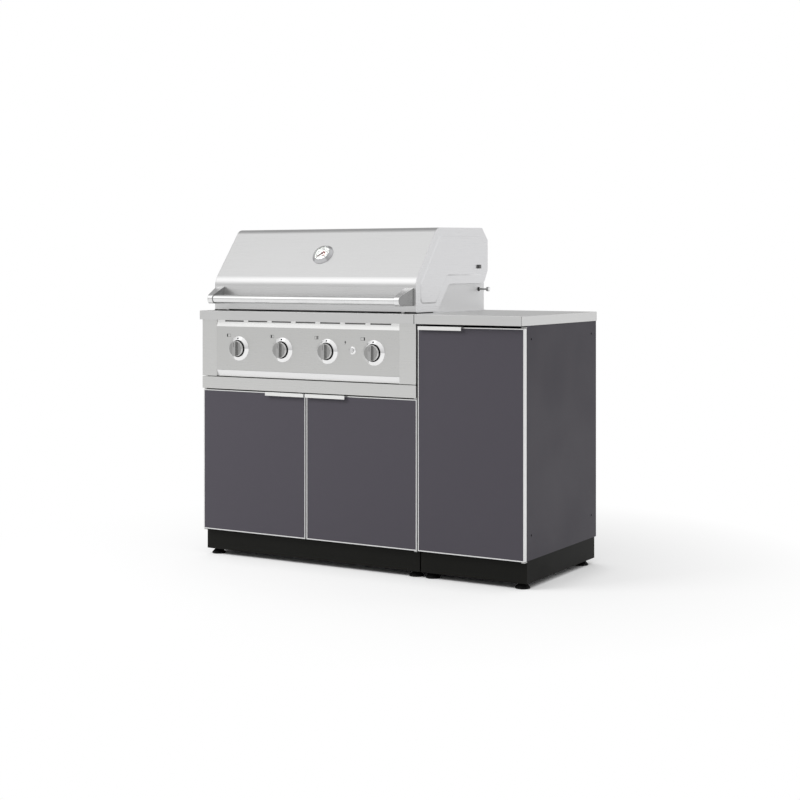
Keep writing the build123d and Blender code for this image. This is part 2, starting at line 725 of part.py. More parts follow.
def firebox_wall(outer, inward, top):
    """The front or rear wall of the firebox, with its flange and the ledges inside it."""
    inner = outer + inward * SHEET
    shelf_edge = inner + inward * LEDGE_WIDTH
    edge = outer - inward * FIREBOX_FLANGE
    x0, x1 = firebox_left + SHEET, firebox_right - SHEET
    wall = block(x0, x1, min(outer, inner), max(outer, inner), firebox_bottom, top)
    wall += block(x0, x1, min(outer, edge), max(outer, edge), COUNTER_HEIGHT, flange_top)
    for z in (tamer_ledge, grate_ledge):
        wall += block(x0, x1, min(inner, shelf_edge), max(inner, shelf_edge), z - SHEET, z)
    return wall


def bored_front_wall():
    """The firebox's front wall, bored for the burner tubes."""
    wall = firebox_wall(firebox_front, 1, firebox_front_top)
    for x in knob_places:
        start = (x, firebox_front, knob_height)
        end = (x, firebox_front + SHEET, knob_height)
        wall -= rod(start, end, BURNER_RADIUS + BURNER_HOLE_GAP)
    return wall


def flame_tamer(x):
    """A folded roof over a burner, which rests on the lower ledges."""
    half = TAMER_WIDTH / 2
    low = tamer_ledge
    peak = low + TAMER_RISE
    roof = make_face(Polyline((-half, low), (0, peak), (half, low), close=True))
    under = make_face(Polyline((SHEET - half, low), (0, peak - SHEET), (half - SHEET, low), close=True))
    y0 = firebox_front + SHEET + TAMER_END_GAP
    y1 = firebox_back - SHEET - TAMER_END_GAP
    return Pos(x, y1, 0) * extrude(Plane.XZ * (roof - under), y1 - y0)


def cooking_grate(left, right):
    """Rods on two cross bars, which rest on the upper ledges."""
    y0 = firebox_front + SHEET + TAMER_END_GAP
    y1 = firebox_back - SHEET - TAMER_END_GAP
    z = grate_ledge + ROD_RADIUS
    first = left + ROD_RADIUS
    pitch = (right - left - 2 * ROD_RADIUS) / (GRATE_RODS - 1)
    grate = None
    for y in (y0 + GRATE_BAR_INSET, y1 - GRATE_BAR_INSET - GRATE_BAR_WIDTH):
        bar = block(left, right, y, y + GRATE_BAR_WIDTH, z - GRATE_BAR_DEPTH, z)
        grate = bar if grate is None else grate + bar
    for k in range(GRATE_RODS):
        x = first + k * pitch
        grate += wire((x, y0, z), (x, y1, z), ROD_RADIUS)
    return grate


def cooking_grates():
    """The grates side by side over the firebox."""
    inner_left = firebox_left + SHEET + GRATE_GAP
    width = (2 * FIREBOX_HALF_WIDTH - 2 * SHEET - (GRATE_COUNT + 1) * GRATE_GAP) / GRATE_COUNT
    lefts = [inner_left + k * (width + GRATE_GAP) for k in range(GRATE_COUNT)]
    return [cooking_grate(left, left + width) for left in lefts]


def warming_rack():
    """Wires across the firebox, tied by cross wires, on top of the side plates."""
    y0 = counter_front + RACK_FRONT
    pitch = RACK_DEPTH / (RACK_RODS - 1)
    z = firebox_side_top + RACK_ROD_RADIUS
    rack = None
    for k in range(RACK_RODS):
        y = y0 + k * pitch
        rung = wire((firebox_left, y, z), (firebox_right, y, z), RACK_ROD_RADIUS)
        rack = rung if rack is None else rack + rung
    span = 2 * FIREBOX_HALF_WIDTH
    for k in range(RACK_TIES):
        x = firebox_left + span * (k + 1) / (RACK_TIES + 1)
        rack += block(
            x - RACK_ROD_RADIUS, x + RACK_ROD_RADIUS, y0 - RACK_ROD_RADIUS,
            y0 + RACK_DEPTH + RACK_ROD_RADIUS, z - RACK_ROD_RADIUS, z,
        )
    return rack


def drip_tray():
    """The slide-out tray, whose lip is the strip under the control panel."""
    lip_top = panel_face_bottom - TRAY_LIP_GAP
    lip_low = fascia_bottom + TRAY_LIP_GAP
    lip_back = panel_front + TRAY_LIP_DEPTH
    outline = Polyline(
        (panel_front, lip_top), (panel_front + SHEET, lip_top), (lip_back + SHEET, tray_bottom + TRAY_WALL),
        (lip_back + SHEET, lip_low), (lip_back, lip_low), close=True,
    )
    lip = prism(outline, panel_left + RUNNING_GAP, panel_right - RUNNING_GAP)
    left, right = grill_middle - tray_half_width, grill_middle + tray_half_width
    back = tray_back
    top = tray_bottom + TRAY_RISE
    body = block(left, right, lip_back, back, tray_bottom, top)
    body -= block(
        left + TRAY_WALL, right - TRAY_WALL, lip_back + SHEET, back - TRAY_WALL, tray_bottom + TRAY_WALL, top
    )
    return body + lip


def tray_runner(inward):
    """A folded rail under one edge of the tray, hung from the firebox side."""
    tray_edge = grill_middle - inward * tray_half_width
    web = tray_edge - inward * RUNNING_GAP
    web_out = web - inward * SHEET
    foot_in = tray_edge + inward * RUNNER_FOOT
    wall = grill_middle - inward * (FIREBOX_HALF_WIDTH - SHEET)
    y0, y1 = firebox_front + SHEET, firebox_back - SHEET
    low_top = tray_bottom - RUNNING_GAP
    high = firebox_bottom + RUNNER_HANG

    def strip(a, b, z0, z1):
        return block(min(a, b), max(a, b), y0, y1, z0, z1)

    rail = strip(web_out, foot_in, low_top - SHEET, low_top)
    rail += strip(web_out, web, low_top - SHEET, high)
    return rail + strip(wall, web, high - SHEET, high)


def upper_outline():
    """The hood's (Y, Z) corners from its front edge over the top to the rear, with their radii."""
    corners = [
        ((lid_front, lid_knee), LID_KNEE_RADIUS),
        ((lid_brow, lid_brow_height), LID_BROW_RADIUS),
        ((lid_rear_edge, overall_height), LID_FOLD_RADIUS),
        ((lid_back, overall_height - LID_REAR_CHAMFER_DROP), LID_FOLD_RADIUS),
        ((lid_back, lid_rear_low), LID_FOLD_RADIUS),
    ]
    return [corner for corner, _ in corners], [radius for _, radius in corners]


def lid_skin():
    """The formed sheet of the hood: front, slope, top and rear."""
    corners, radii = upper_outline()
    low = COUNTER_HEIGHT - LID_KNEE_RISE
    tuck_end = lid_back - (lid_rear_low - low) * LID_TUCK_RUN / LID_TUCK_HEIGHT
    outline = FilletPolyline(
        (lid_front, low), *corners, (tuck_end, low), radius=[0, *radii, 0], close=True
    )
    solid = make_face(outline)
    ring = solid - offset(solid, -LID_SKIN, kind=Kind.INTERSECTION)
    x0, x1 = grill_middle - cap_back, grill_middle + cap_back
    skin = Pos(x0, 0, 0) * extrude(Plane.YZ * ring, x1 - x0)
    skin -= block(x0, x1, lid_front, lid_back, low, lid_bottom)
    skin -= block(x0, x1, lid_middle, lid_back, low, lid_tuck_low)
    inset = FIREBOX_HALF_WIDTH - SHEET - LID_REAR_CLEARANCE
    swing_top = lid_axis_height + firebox_back - lid_axis + LID_CORNER_RADIUS + LID_REAR_CLEARANCE
    for a, b in ((x0, grill_middle - inset), (grill_middle + inset, x1)):
        skin -= block(a, b, lid_middle, lid_back, lid_tuck_low, swing_top)
    hole = rod(gauge_seat - slope_out * LID_KNEE_RADIUS, gauge_seat, GAUGE_STEM_RADIUS + GAUGE_HOLE_GAP)
    return skin - hole


def cap_corners():
    """The corners of an end cap, with the cut-away that clears the firebox, and their radii."""
    corners, radii = upper_outline()
    lower = [
        (lid_tuck_back, cap_cut), (counter_front + CAP_CUT_FRONT, cap_cut),
        (counter_front + CAP_FOOT_BACK, lid_bottom), (lid_front, lid_bottom),
    ]
    return [*corners, *lower], [*radii, LID_CORNER_RADIUS, LID_CORNER_RADIUS, 0, 0]


def lid_end(outward):
    """A stamped end cap: a flat border round a raised middle, with a narrow bevel between them."""
    corners, radii = cap_corners()
    outline = make_face(FilletPolyline(*corners, radius=radii, close=True))
    raised = offset(make_face(Polyline(*corners, close=True)), -CAP_BORDER, kind=Kind.INTERSECTION)
    raised = fillet(raised.vertices(), CAP_ROUND)
    crest = CAP_PLATE + CAP_EMBOSS
    middle = extrude(Plane.YZ * raised, crest)
    face = middle.faces().sort_by(Axis.X)[-1]
    middle = chamfer(face.edges(), CAP_BEVEL, CAP_EMBOSS, reference=face)
    pocket = offset(raised, -CAP_BEVEL, kind=Kind.INTERSECTION)
    body = extrude(Plane.YZ * outline, CAP_PLATE) + middle
    body -= extrude(Plane.YZ * pocket, CAP_EMBOSS)
    place = (lid_axis, lid_axis_height)
    body -= rod((0, *place), (crest, *place), BOLT_RADIUS + SHAFT_GAP)
    if outward < 0:
        body = mirror(body, Plane.YZ)
    return Pos(grill_middle + outward * cap_back, 0, 0) * body


def pivot_bolt(outward):
    """A hood pivot bolt: head inside the ear, collar, shank through the end cap and a square nut."""
    def at(reach):
        return (grill_middle + outward * reach, lid_axis, lid_axis_height)

    ear_inside = FIREBOX_HALF_WIDTH - SHEET
    nut_in = cap_crest + RUNNING_GAP
    nut_out = nut_in + BOLT_NUT_THICKNESS
    bolt = rod(at(ear_inside - BOLT_HEAD_THICKNESS), at(ear_inside), BOLT_COLLAR_RADIUS)
    bolt += rod(at(ear_inside), at(nut_in), BOLT_RADIUS)
    collar_end = cap_crest - CAP_PLATE - RUNNING_GAP
    bolt += rod(at(FIREBOX_HALF_WIDTH), at(collar_end), BOLT_COLLAR_RADIUS)
    x_in, x_out = at(nut_in)[0], at(nut_out)[0]
    half = BOLT_NUT / 2
    return bolt + block(
        min(x_in, x_out), max(x_in, x_out), lid_axis - half, lid_axis + half,
        lid_axis_height - half, lid_axis_height + half,
    )


def handle_place():
    """The (Y, Z) place of the handle bar's axis."""
    return counter_front - HANDLE_REACH + HANDLE_BOSS_RADIUS, handle_height


def handle_bar():
    """The round handle bar between its brackets."""
    reach = handle_half_length - HANDLE_BRACKET_WIDTH
    place = handle_place()
    return rod((grill_middle - reach, *place), (grill_middle + reach, *place), HANDLE_RADIUS)


def handle_bracket(outward):
    """A wedge from a round boss at one end of the bar to the hood, where it flares out to the side."""
    y, z = handle_place()
    boss = Pos(y, z) * Circle(HANDLE_BOSS_RADIUS)
    foot_edge = Line((lid_front, bracket_foot_low), (lid_front, bracket_foot_high))
    wedge = make_hull([*boss.edges(), foot_edge.edge()])
    front = y - HANDLE_BOSS_RADIUS
    foot_width = HANDLE_BRACKET_WIDTH + BRACKET_FLARE
    plan = Polyline(
        (0, front), (HANDLE_BRACKET_WIDTH, front), (foot_width, lid_front), (0, lid_front), close=True
    )
    bracket = extrude(Plane.YZ * wedge, foot_width) & extrude(make_face(plan), overall_height)
    if outward < 0:
        bracket = mirror(bracket, Plane.YZ)
    return Pos(grill_middle + outward * (handle_half_length - HANDLE_BRACKET_WIDTH), 0, 0) * bracket


def gauge_turned(outline):
    """A turned piece of the thermometer, on the slope of the hood."""
    return turned(outline, gauge_seat, slope_out)


def thermometer_case():
    """The thermometer's cup with its tapered bezel, spindle and stem into the hood."""
    floor = GAUGE_FLOOR
    spindle_top = floor + GAUGE_DIAL + SPINDLE_HEIGHT
    return gauge_turned([
        (0, -GAUGE_STEM_LENGTH), (GAUGE_STEM_RADIUS, -GAUGE_STEM_LENGTH), (GAUGE_STEM_RADIUS, 0),
        (GAUGE_RADIUS, 0), (GAUGE_RADIUS, GAUGE_SHOULDER), (GAUGE_RIM_RADIUS, GAUGE_HEIGHT),
        (GAUGE_BORE_RADIUS, GAUGE_HEIGHT), (GAUGE_BORE_RADIUS, floor), (SPINDLE_RADIUS, floor),
        (SPINDLE_RADIUS, spindle_top), (0, spindle_top),
    ])


def thermometer_dial():
    """The dial plate on the floor of the cup."""
    top = GAUGE_FLOOR + GAUGE_DIAL
    return gauge_turned([
        (SPINDLE_RADIUS, GAUGE_FLOOR), (GAUGE_BORE_RADIUS, GAUGE_FLOOR), (GAUGE_BORE_RADIUS, top),
        (SPINDLE_RADIUS, top),
    ])


def thermometer_lens():
    """The glass over the dial."""
    high = GAUGE_HEIGHT - LENS_DROP
    low = high - LENS_THICKNESS
    return gauge_turned([(0, low), (GAUGE_BORE_RADIUS, low), (GAUGE_BORE_RADIUS, high), (0, high)])


def thermometer_needle():
    """The needle, with a balancing tail, on its spindle."""
    tip = Polyline(
        (0, NEEDLE_WIDTH), (NEEDLE_LENGTH, NEEDLE_WIDTH / 4), (NEEDLE_LENGTH, -NEEDLE_WIDTH / 4),
        (0, -NEEDLE_WIDTH), close=True,
    )
    tail = Polyline(
        (0, NEEDLE_WIDTH), (-NEEDLE_TAIL, NEEDLE_TAIL_WIDTH), (-NEEDLE_TAIL, -NEEDLE_TAIL_WIDTH),
        (0, -NEEDLE_WIDTH), close=True,
    )
    shape = make_face(tip) + make_face(tail) + Circle(NEEDLE_HUB_RADIUS)
    shape -= Circle(SPINDLE_RADIUS + SHAFT_GAP)
    lift = GAUGE_FLOOR + GAUGE_DIAL + NEEDLE_LIFT
    needle = extrude(Rot(0, 0, NEEDLE_REST) * shape, NEEDLE_THICKNESS)
    face = Plane(origin=gauge_seat, x_dir=(1, 0, 0), z_dir=slope_out)
    return face * (Pos(0, 0, lift) * needle)


def rotisserie_stud():
    """The stud on the right firebox side: a collar, a thin shaft and a round cap."""
    y = counter_back - STUD_MARGIN

    def at(reach):
        return (firebox_right + reach, y, stud_height)

    stud = rod(at(0), at(STUD_LENGTH), STUD_RADIUS)
    stud += rod(at(0), at(LID_SIDE_GAP - STUD_GAP), STUD_COLLAR_RADIUS)
    return stud + rod(at(STUD_LENGTH - STUD_CAP_LENGTH), at(STUD_LENGTH), STUD_CAP_RADIUS)


def write(name, *pieces):
    """Write one node's solids to its file."""
    solids = [solid for piece in pieces for solid in piece.solids()]
    shape = solids[0] if len(solids) == 1 else Compound(solids)
    export_step(shape, os.path.join("parts", name + ".step"))


def write_cabinet(name, left, right):
    """Write the pieces that both cabinets have, and return the inner faces of their sides."""
    outer_left, outer_right = left + SIDE_OVERHANG, right - SIDE_OVERHANG
    inner_left, inner_right = outer_left + SIDE_THICKNESS, outer_right - SIDE_THICKNESS
    write(name + "_side_left", side_panel(outer_left, 1))
    write(name + "_side_right", side_panel(outer_right, -1))
    write(name + "_floor", floor_pan(inner_left, inner_right))
    write(name + "_plinth", *plinth(outer_left, outer_right))
    write(name + "_feet", *[foot(x, y) for x, y in foot_places(outer_left, outer_right)])
    return inner_left, inner_right


def write_doors():
    """Write the three doors, each hung at its outer edge, and their pivot brackets."""
    meeting_left = grill_middle - DOOR_MEETING_GAP / 2
    meeting_right = grill_middle + DOOR_MEETING_GAP / 2
    grill_left, grill_right = set_left + DOOR_SIDE_REVEAL, seam - DOOR_SIDE_REVEAL
    storage_left, storage_right = seam + DOOR_SIDE_REVEAL, set_right - DOOR_SIDE_REVEAL
    doors = (
        ("left_door", grill_left, meeting_left, GRILL_DOOR_TOP, grill_left, 1, meeting_left - PULL_LENGTH),
        ("right_door", meeting_right, grill_right, GRILL_DOOR_TOP, grill_right, -1, meeting_right),
        (
            "storage_door", storage_left, storage_right, storage_door_top, storage_right, -1,
            storage_left + STORAGE_PULL_INSET,
        ),
    )
    brackets = []
    for name, left, right, top, edge, inward, pull_left in doors:
        frame, panel = door_pieces(left, right, top, edge, inward)
        write(name + "_frame", *frame)
        write(name + "_panel", *panel)
        write(name + "_pull", pull(pull_left, top))
        brackets.append(pivot_bracket(edge, inward, top, 1))
        brackets.append(pivot_bracket(edge, inward, DOOR_BOTTOM, -1))
    write("door_pivot_brackets", *brackets)


def write_stainless_front():
    """Write the apron rail, the fascia stiles and the control panel."""
    left, right = set_left + FASCIA_REVEAL, seam - FASCIA_REVEAL
    write("apron_rail", pan(left, right, fascia_front, carcass_front, rail_bottom, rail_top, FASCIA_SKIN))
    write(
        "fascia_stiles",
        pan(left, panel_left, fascia_front, carcass_front, fascia_bottom, fascia_top, FASCIA_SKIN),
        pan(panel_right, right, fascia_front, carcass_front, fascia_bottom, fascia_top, FASCIA_SKIN),
    )
    write("control_panel", control_panel())
    write("control_bezels", *[knob_bezel(x) for x in knob_places], button_bezel())
    write("igniter_button", igniter_button())
    for number, x in enumerate(knob_places, start=1):
        write(f"knob_{number}", knob(x))
        write(f"valve_stem_{number}", valve_stem(x))


def write_grill():
    """Write the firebox and what it holds."""
    write("gas_manifold", gas_manifold())
    write("burner_tubes", *[burner(x) for x in knob_places])
    write("firebox_sides", firebox_side(firebox_left, 1), firebox_side(firebox_right, -1))
    write("firebox_walls", bored_front_wall(), firebox_wall(firebox_back, -1, firebox_rear_top))
    write("flame_tamers", *[flame_tamer(x) for x in knob_places])
    write("cooking_grates", *cooking_grates())
    write("warming_rack", warming_rack())
    write("drip_tray", drip_tray())
    write("tray_runners", tray_runner(1), tray_runner(-1))
    write("rotisserie_stud", rotisserie_stud())


def write_hood():
    """Write the hood, its pivot bolts, handle and thermometer."""
    write("lid_skin", lid_skin())
    write("lid_end_left", lid_end(-1))
    write("lid_end_right", lid_end(1))
    write("lid_pivot_bolts", pivot_bolt(-1), pivot_bolt(1))
    write("lid_handle_bar", handle_bar())
    write("lid_handle_brackets", handle_bracket(-1), handle_bracket(1))
    write("thermometer_case", thermometer_case())
    write("thermometer_dial", thermometer_dial())
    write("thermometer_lens", thermometer_lens())
    write("thermometer_needle", thermometer_needle())


os.makedirs("parts", exist_ok=True)
grill_inner = write_cabinet("grill", set_left, seam)
storage_inner = write_cabinet("storage", seam, set_right)
write("grill_back", vented_back(*grill_inner))
write("storage_back", back_panel(*storage_inner))
write("top_stretchers", *stretchers(*grill_inner), *stretchers(*storage_inner))
write("storage_shelf", shelf(*storage_inner))
write("shelf_pins", *shelf_pins(*storage_inner))
cutout = block(
    firebox_left - CUTOUT_GAP, firebox_right + CUTOUT_GAP,
    firebox_front - CUTOUT_GAP, firebox_back + CUTOUT_GAP, counter_bottom, COUNTER_HEIGHT,
)
write("grill_countertop", countertop(set_left, seam) - cutout)
write("storage_countertop", countertop(seam, set_right))
write_doors()
write_stainless_front()
write_grill()
write_hood()
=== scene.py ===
import bmesh
import bpy
import json
import math
from mathutils import Matrix, Vector


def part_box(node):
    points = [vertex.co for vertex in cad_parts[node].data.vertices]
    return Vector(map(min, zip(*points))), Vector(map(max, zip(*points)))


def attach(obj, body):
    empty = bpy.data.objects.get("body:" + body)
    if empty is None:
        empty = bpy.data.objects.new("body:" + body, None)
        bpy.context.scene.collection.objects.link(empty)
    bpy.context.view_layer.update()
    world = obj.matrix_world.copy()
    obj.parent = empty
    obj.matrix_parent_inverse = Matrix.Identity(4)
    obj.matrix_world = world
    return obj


# Looks for the outdoor kitchen cabinet set. Metres, in the CAD frame: X right, Y back, Z up.
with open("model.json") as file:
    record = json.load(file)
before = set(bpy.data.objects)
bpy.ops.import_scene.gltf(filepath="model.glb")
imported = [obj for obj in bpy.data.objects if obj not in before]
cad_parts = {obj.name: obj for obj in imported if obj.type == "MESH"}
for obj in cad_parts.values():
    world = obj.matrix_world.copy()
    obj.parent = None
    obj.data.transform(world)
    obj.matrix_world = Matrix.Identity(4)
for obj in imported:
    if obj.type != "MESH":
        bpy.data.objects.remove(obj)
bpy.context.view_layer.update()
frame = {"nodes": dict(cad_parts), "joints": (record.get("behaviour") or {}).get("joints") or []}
nodes = frame["nodes"]
joints = {joint["name"]: joint for joint in frame["joints"]}
MM = 0.001
UP, RIGHT, FRONT, BACK = (0, 0, 1), (1, 0, 0), (0, -1, 0), (0, 1, 0)


# Material building blocks

NOISE_LOW = 0.3  # the range that a noise mostly stays in
NOISE_HIGH = 0.7
FINE_DETAIL = 2.0
HANDLING_SCALE = 5.0
HAZE_SCALE = 40.0
CLOUD_SCALE = 4.0
EDGE_PATCH_SCALE = 60.0
SMEAR_SCALE = 60.0
ALONG_X = (4.0, 1600.0, 1600.0)  # grain: slow along one axis, fine across it
ALONG_Y = (1600.0, 4.0, 1600.0)
ALONG_Z = (1600.0, 1600.0, 4.0)
NO_GRAIN = (300.0, 300.0, 300.0)

SMOOTHER = 0.05  # how far roughness wanders either way
ROUGHER = 0.06
HAZE_LOW = 0.7  # a haze's roughness, as shares of the metal's own
HAZE_HIGH = 1.4
EDGE_PATCH_LOW = 0.1  # how far an edge goes over to its lighter edge tone, in patches
EDGE_PATCH_HIGH = 0.7
METAL_SPREAD = 0.03  # share of a tone that it varies by
PAINT_SPREAD = 0.06
BRUSH_SHARE = 0.7  # brushed lines against handling marks
BRUSH_BUMP = 0.03
BUMP_DEPTH = 0.3 * MM

EDGE_SAMPLES = 4
BRUSHED_EDGE = 1.2 * MM  # radii that edges are rounded by
POLISHED_EDGE = 0.6 * MM
PAINTED_EDGE = 1.0 * MM
KNOB_EDGE = 0.8 * MM
LIGHT_EDGE_RADIUS = 1.2 * MM
EDGE_COSINES = (0.86, 0.999)  # rounded against true normal, at an edge and on an open face
LEANING = (0.08, 0.16)  # upward part of a normal at which a face begins to lean, and fully does, for the painted highlight on leaning faces
SIDEWAYS = (0.6, 0.8)  # sideways part of a normal, in the same way, for the painted shade on side faces
GRIP_SHARE = 0.9  # a knob's grip against its brushed lines
GRIP_FULL = 0.6 * MM  # in front of the knob's shoulder
GRIP_START = 0.2 * MM


def grey(level):
    """A neutral tone."""
    return (level, level, level)


def node_tree(name):
    """A new material, its node tree and its main shader."""
    material = bpy.data.materials.new(name)
    material.use_nodes = True
    tree = material.node_tree
    return material, tree, tree.nodes["Principled BSDF"]


def noise(tree, scale, stretch=(1, 1, 1), detail=3.0):
    """Noise in object space, which is the CAD frame, stretched along the grain."""
    coords = tree.nodes.new("ShaderNodeTexCoord")
    mapping = tree.nodes.new("ShaderNodeMapping")
    mapping.inputs["Scale"].default_value = stretch
    texture = tree.nodes.new("ShaderNodeTexNoise")
    texture.inputs["Scale"].default_value = scale
    texture.inputs["Detail"].default_value = detail
    tree.links.new(coords.outputs["Object"], mapping.inputs["Vector"])
    tree.links.new(mapping.outputs["Vector"], texture.inputs["Vector"])
    return texture.outputs["Fac"]


def remap(tree, value, low, high, from_low=NOISE_LOW, from_high=NOISE_HIGH):
    """A value moved from one range to another, and held inside it."""
    node = tree.nodes.new("ShaderNodeMapRange")
    node.inputs["From Min"].default_value = from_low
    node.inputs["From Max"].default_value = from_high
    node.inputs["To Min"].default_value = low
    node.inputs["To Max"].default_value = high
    tree.links.new(value, node.inputs["Value"])
    return node.outputs["Result"]


def combine(tree, operation, a, b):
    """A calculation on two values, each a number or a socket."""
    node = tree.nodes.new("ShaderNodeMath")
    node.operation = operation
    for socket, value in zip(node.inputs, (a, b)):
        if isinstance(value, (int, float)):
            socket.default_value = value
        else:
            tree.links.new(value, socket)
    return node.outputs["Value"]


def tint(tree, shader, factor, dark, light):
    """Base colour between two tones."""
    mix = tree.nodes.new("ShaderNodeMix")
    mix.data_type = "RGBA"
    mix.inputs["A"].default_value = (*dark, 1)
    mix.inputs["B"].default_value = (*light, 1)
    tree.links.new(factor, mix.inputs["Factor"])
    tree.links.new(mix.outputs["Result"], shader.inputs["Base Color"])


def shades(tone, spread):
    """A darker and a lighter version of a tone."""
    return [max(0.0, v * (1 - spread)) for v in tone], [min(1.0, v * (1 + spread)) for v in tone]


def wander(tree, shader, value, roughness):
    """Roughness that follows a noise, a little to either side."""
    tree.links.new(remap(tree, value, roughness - SMOOTHER, roughness + ROUGHER), shader.inputs["Roughness"])


def soft_edges(tree, radius):
    """Normals rounded over the sharp edges of the CAD solids."""
    node = tree.nodes.new("ShaderNodeBevel")
    node.samples = EDGE_SAMPLES
    node.inputs["Radius"].default_value = radius
    return node.outputs["Normal"]


def bumped(tree, shader, height, strength, normal):
    """Fine relief on top of the rounded normals."""
    node = tree.nodes.new("ShaderNodeBump")
    node.inputs["Strength"].default_value = strength
    node.inputs["Distance"].default_value = BUMP_DEPTH
    tree.links.new(height, node.inputs["Height"])
    tree.links.new(normal, node.inputs["Normal"])
    tree.links.new(node.outputs["Normal"], shader.inputs["Normal"])


def edge_mask(tree, radius):
    """1 along edges, 0 on open faces."""
    rounded = soft_edges(tree, radius)
    geometry = tree.nodes.new("ShaderNodeNewGeometry")
    dot = tree.nodes.new("ShaderNodeVectorMath")
    dot.operation = "DOT_PRODUCT"
    tree.links.new(rounded, dot.inputs[0])
    tree.links.new(geometry.outputs["Normal"], dot.inputs[1])
    return remap(tree, dot.outputs["Value"], 1.0, 0.0, *EDGE_COSINES)


def facing(tree, axis, start, full):
    """How far a face turns along an axis: 0 at start, 1 at full."""
    geometry = tree.nodes.new("ShaderNodeNewGeometry")
    split = tree.nodes.new("ShaderNodeSeparateXYZ")
    tree.links.new(geometry.outputs["Normal"], split.inputs["Vector"])
    return remap(tree, combine(tree, "ABSOLUTE", split.outputs[axis], 0.0), 0.0, 1.0, start, full)


def brushed(name, tone, roughness, grain, spread=METAL_SPREAD, lit_leaning=None):
    """Brushed steel: fine lines along the grain, faint handling marks, and, where given, a painted highlight:
    a lighter tone on leaning faces.
    """
    material, tree, shader = node_tree(name)
    shader.inputs["Metallic"].default_value = 1.0
    lines = noise(tree, 1.0, grain, FINE_DETAIL)
    handling = combine(tree, "MULTIPLY", noise(tree, HANDLING_SCALE), 1 - BRUSH_SHARE)
    mixed = combine(tree, "ADD", combine(tree, "MULTIPLY", lines, BRUSH_SHARE), handling)
    if lit_leaning is None:
        tint(tree, shader, remap(tree, mixed, 0.0, 1.0), *shades(tone, spread))
    else:
        tint(tree, shader, facing(tree, "Z", *LEANING), tone, lit_leaning)
    wander(tree, shader, mixed, roughness)
    bumped(tree, shader, lines, BRUSH_BUMP, soft_edges(tree, BRUSHED_EDGE))
    return material


def polished(name, tone, roughness, shaded_sides=None, edge=POLISHED_EDGE):
    """Polished metal with a faint haze, and, where given, painted shade: a darker tone on faces turned
    sideways.
    """
    material, tree, shader = node_tree(name)
    shader.inputs["Metallic"].default_value = 1.0
    haze = noise(tree, HAZE_SCALE)
    if shaded_sides is None:
        tint(tree, shader, remap(tree, haze, 0.0, 1.0), *shades(tone, METAL_SPREAD))
    else:
        tint(tree, shader, facing(tree, "X", *SIDEWAYS), tone, shaded_sides)
    hazy = remap(tree, haze, roughness * HAZE_LOW, roughness * HAZE_HIGH)
    tree.links.new(hazy, shader.inputs["Roughness"])
    tree.links.new(soft_edges(tree, edge), shader.inputs["Normal"])
    return material


def painted(name, tone, roughness, grain=1400.0, bump=0.12, edge_tone=None, specular=0.5):
    """Powder coat, moulded plastic or print: orange peel, slight cloudiness, and, where given, a lighter tone
    in patches along the edges.
    """
    material, tree, shader = node_tree(name)
    shader.inputs["Specular IOR Level"].default_value = specular
    peel = noise(tree, grain, detail=FINE_DETAIL)
    cloud = noise(tree, CLOUD_SCALE)
    if edge_tone is None:
        tint(tree, shader, remap(tree, cloud, 0.0, 1.0), *shades(tone, PAINT_SPREAD))
    else:
        patches = remap(tree, noise(tree, EDGE_PATCH_SCALE), EDGE_PATCH_LOW, EDGE_PATCH_HIGH)
        tint(tree, shader, combine(tree, "MULTIPLY", edge_mask(tree, LIGHT_EDGE_RADIUS), patches), tone, edge_tone)
    wander(tree, shader, cloud, roughness)
    bumped(tree, shader, peel, bump, soft_edges(tree, PAINTED_EDGE))
    return material


def knob_steel(name, face, grip, shoulder, roughness):
    """Brushed metal with a darker round face behind a lighter grip bar."""
    material, tree, shader = node_tree(name)
    shader.inputs["Metallic"].default_value = 1.0
    coords = tree.nodes.new("ShaderNodeTexCoord")
    split = tree.nodes.new("ShaderNodeSeparateXYZ")
    tree.links.new(coords.outputs["Object"], split.inputs["Vector"])
    ahead = remap(tree, split.outputs["Y"], GRIP_SHARE, 0.0, shoulder - GRIP_FULL, shoulder - GRIP_START)
    lines = noise(tree, 1.0, ALONG_Z, FINE_DETAIL)
    streaks = combine(tree, "MULTIPLY", lines, 1 - GRIP_SHARE)
    tint(tree, shader, combine(tree, "ADD", ahead, streaks), face, grip)
    wander(tree, shader, lines, roughness)
    bumped(tree, shader, lines, BRUSH_BUMP, soft_edges(tree, KNOB_EDGE))
    return material


def glass(name, tone, refraction, smear):
    """Clear glass with faint smears."""
    material, tree, shader = node_tree(name)
    shader.inputs["Base Color"].default_value = (*tone, 1)
    shader.inputs["Transmission Weight"].default_value = 1.0
    shader.inputs["IOR"].default_value = refraction
    tree.links.new(remap(tree, noise(tree, SMEAR_SCALE), 0.0, smear), shader.inputs["Roughness"])
    return material


# Materials

KNOB_SHOULDER_DEPTH = 9.5 * MM
knob_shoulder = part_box("knob_1")[0].y + KNOB_SHOULDER_DEPTH

hood_steel = brushed("hood_steel", grey(0.70), 0.30, ALONG_X)
cap_steel = brushed("cap_steel", (0.72, 0.72, 0.73), 0.30, ALONG_Y)
# painted highlight: the control panel's upward-leaning faces get a lighter tone than its upright ones
panel_steel = brushed("panel_steel", (0.61, 0.61, 0.60), 0.30, ALONG_X, lit_leaning=(0.90, 0.90, 0.89))
fascia_steel = brushed("fascia_steel", (0.65, 0.65, 0.64), 0.30, ALONG_X)
tray_steel = brushed("tray_steel", grey(0.80), 0.30, ALONG_X)
counter_steel = brushed("counter_steel", (0.66, 0.66, 0.655), 0.34, ALONG_X)
fire_steel = brushed("fire_steel", (0.73, 0.73, 0.735), 0.50, ALONG_Z)
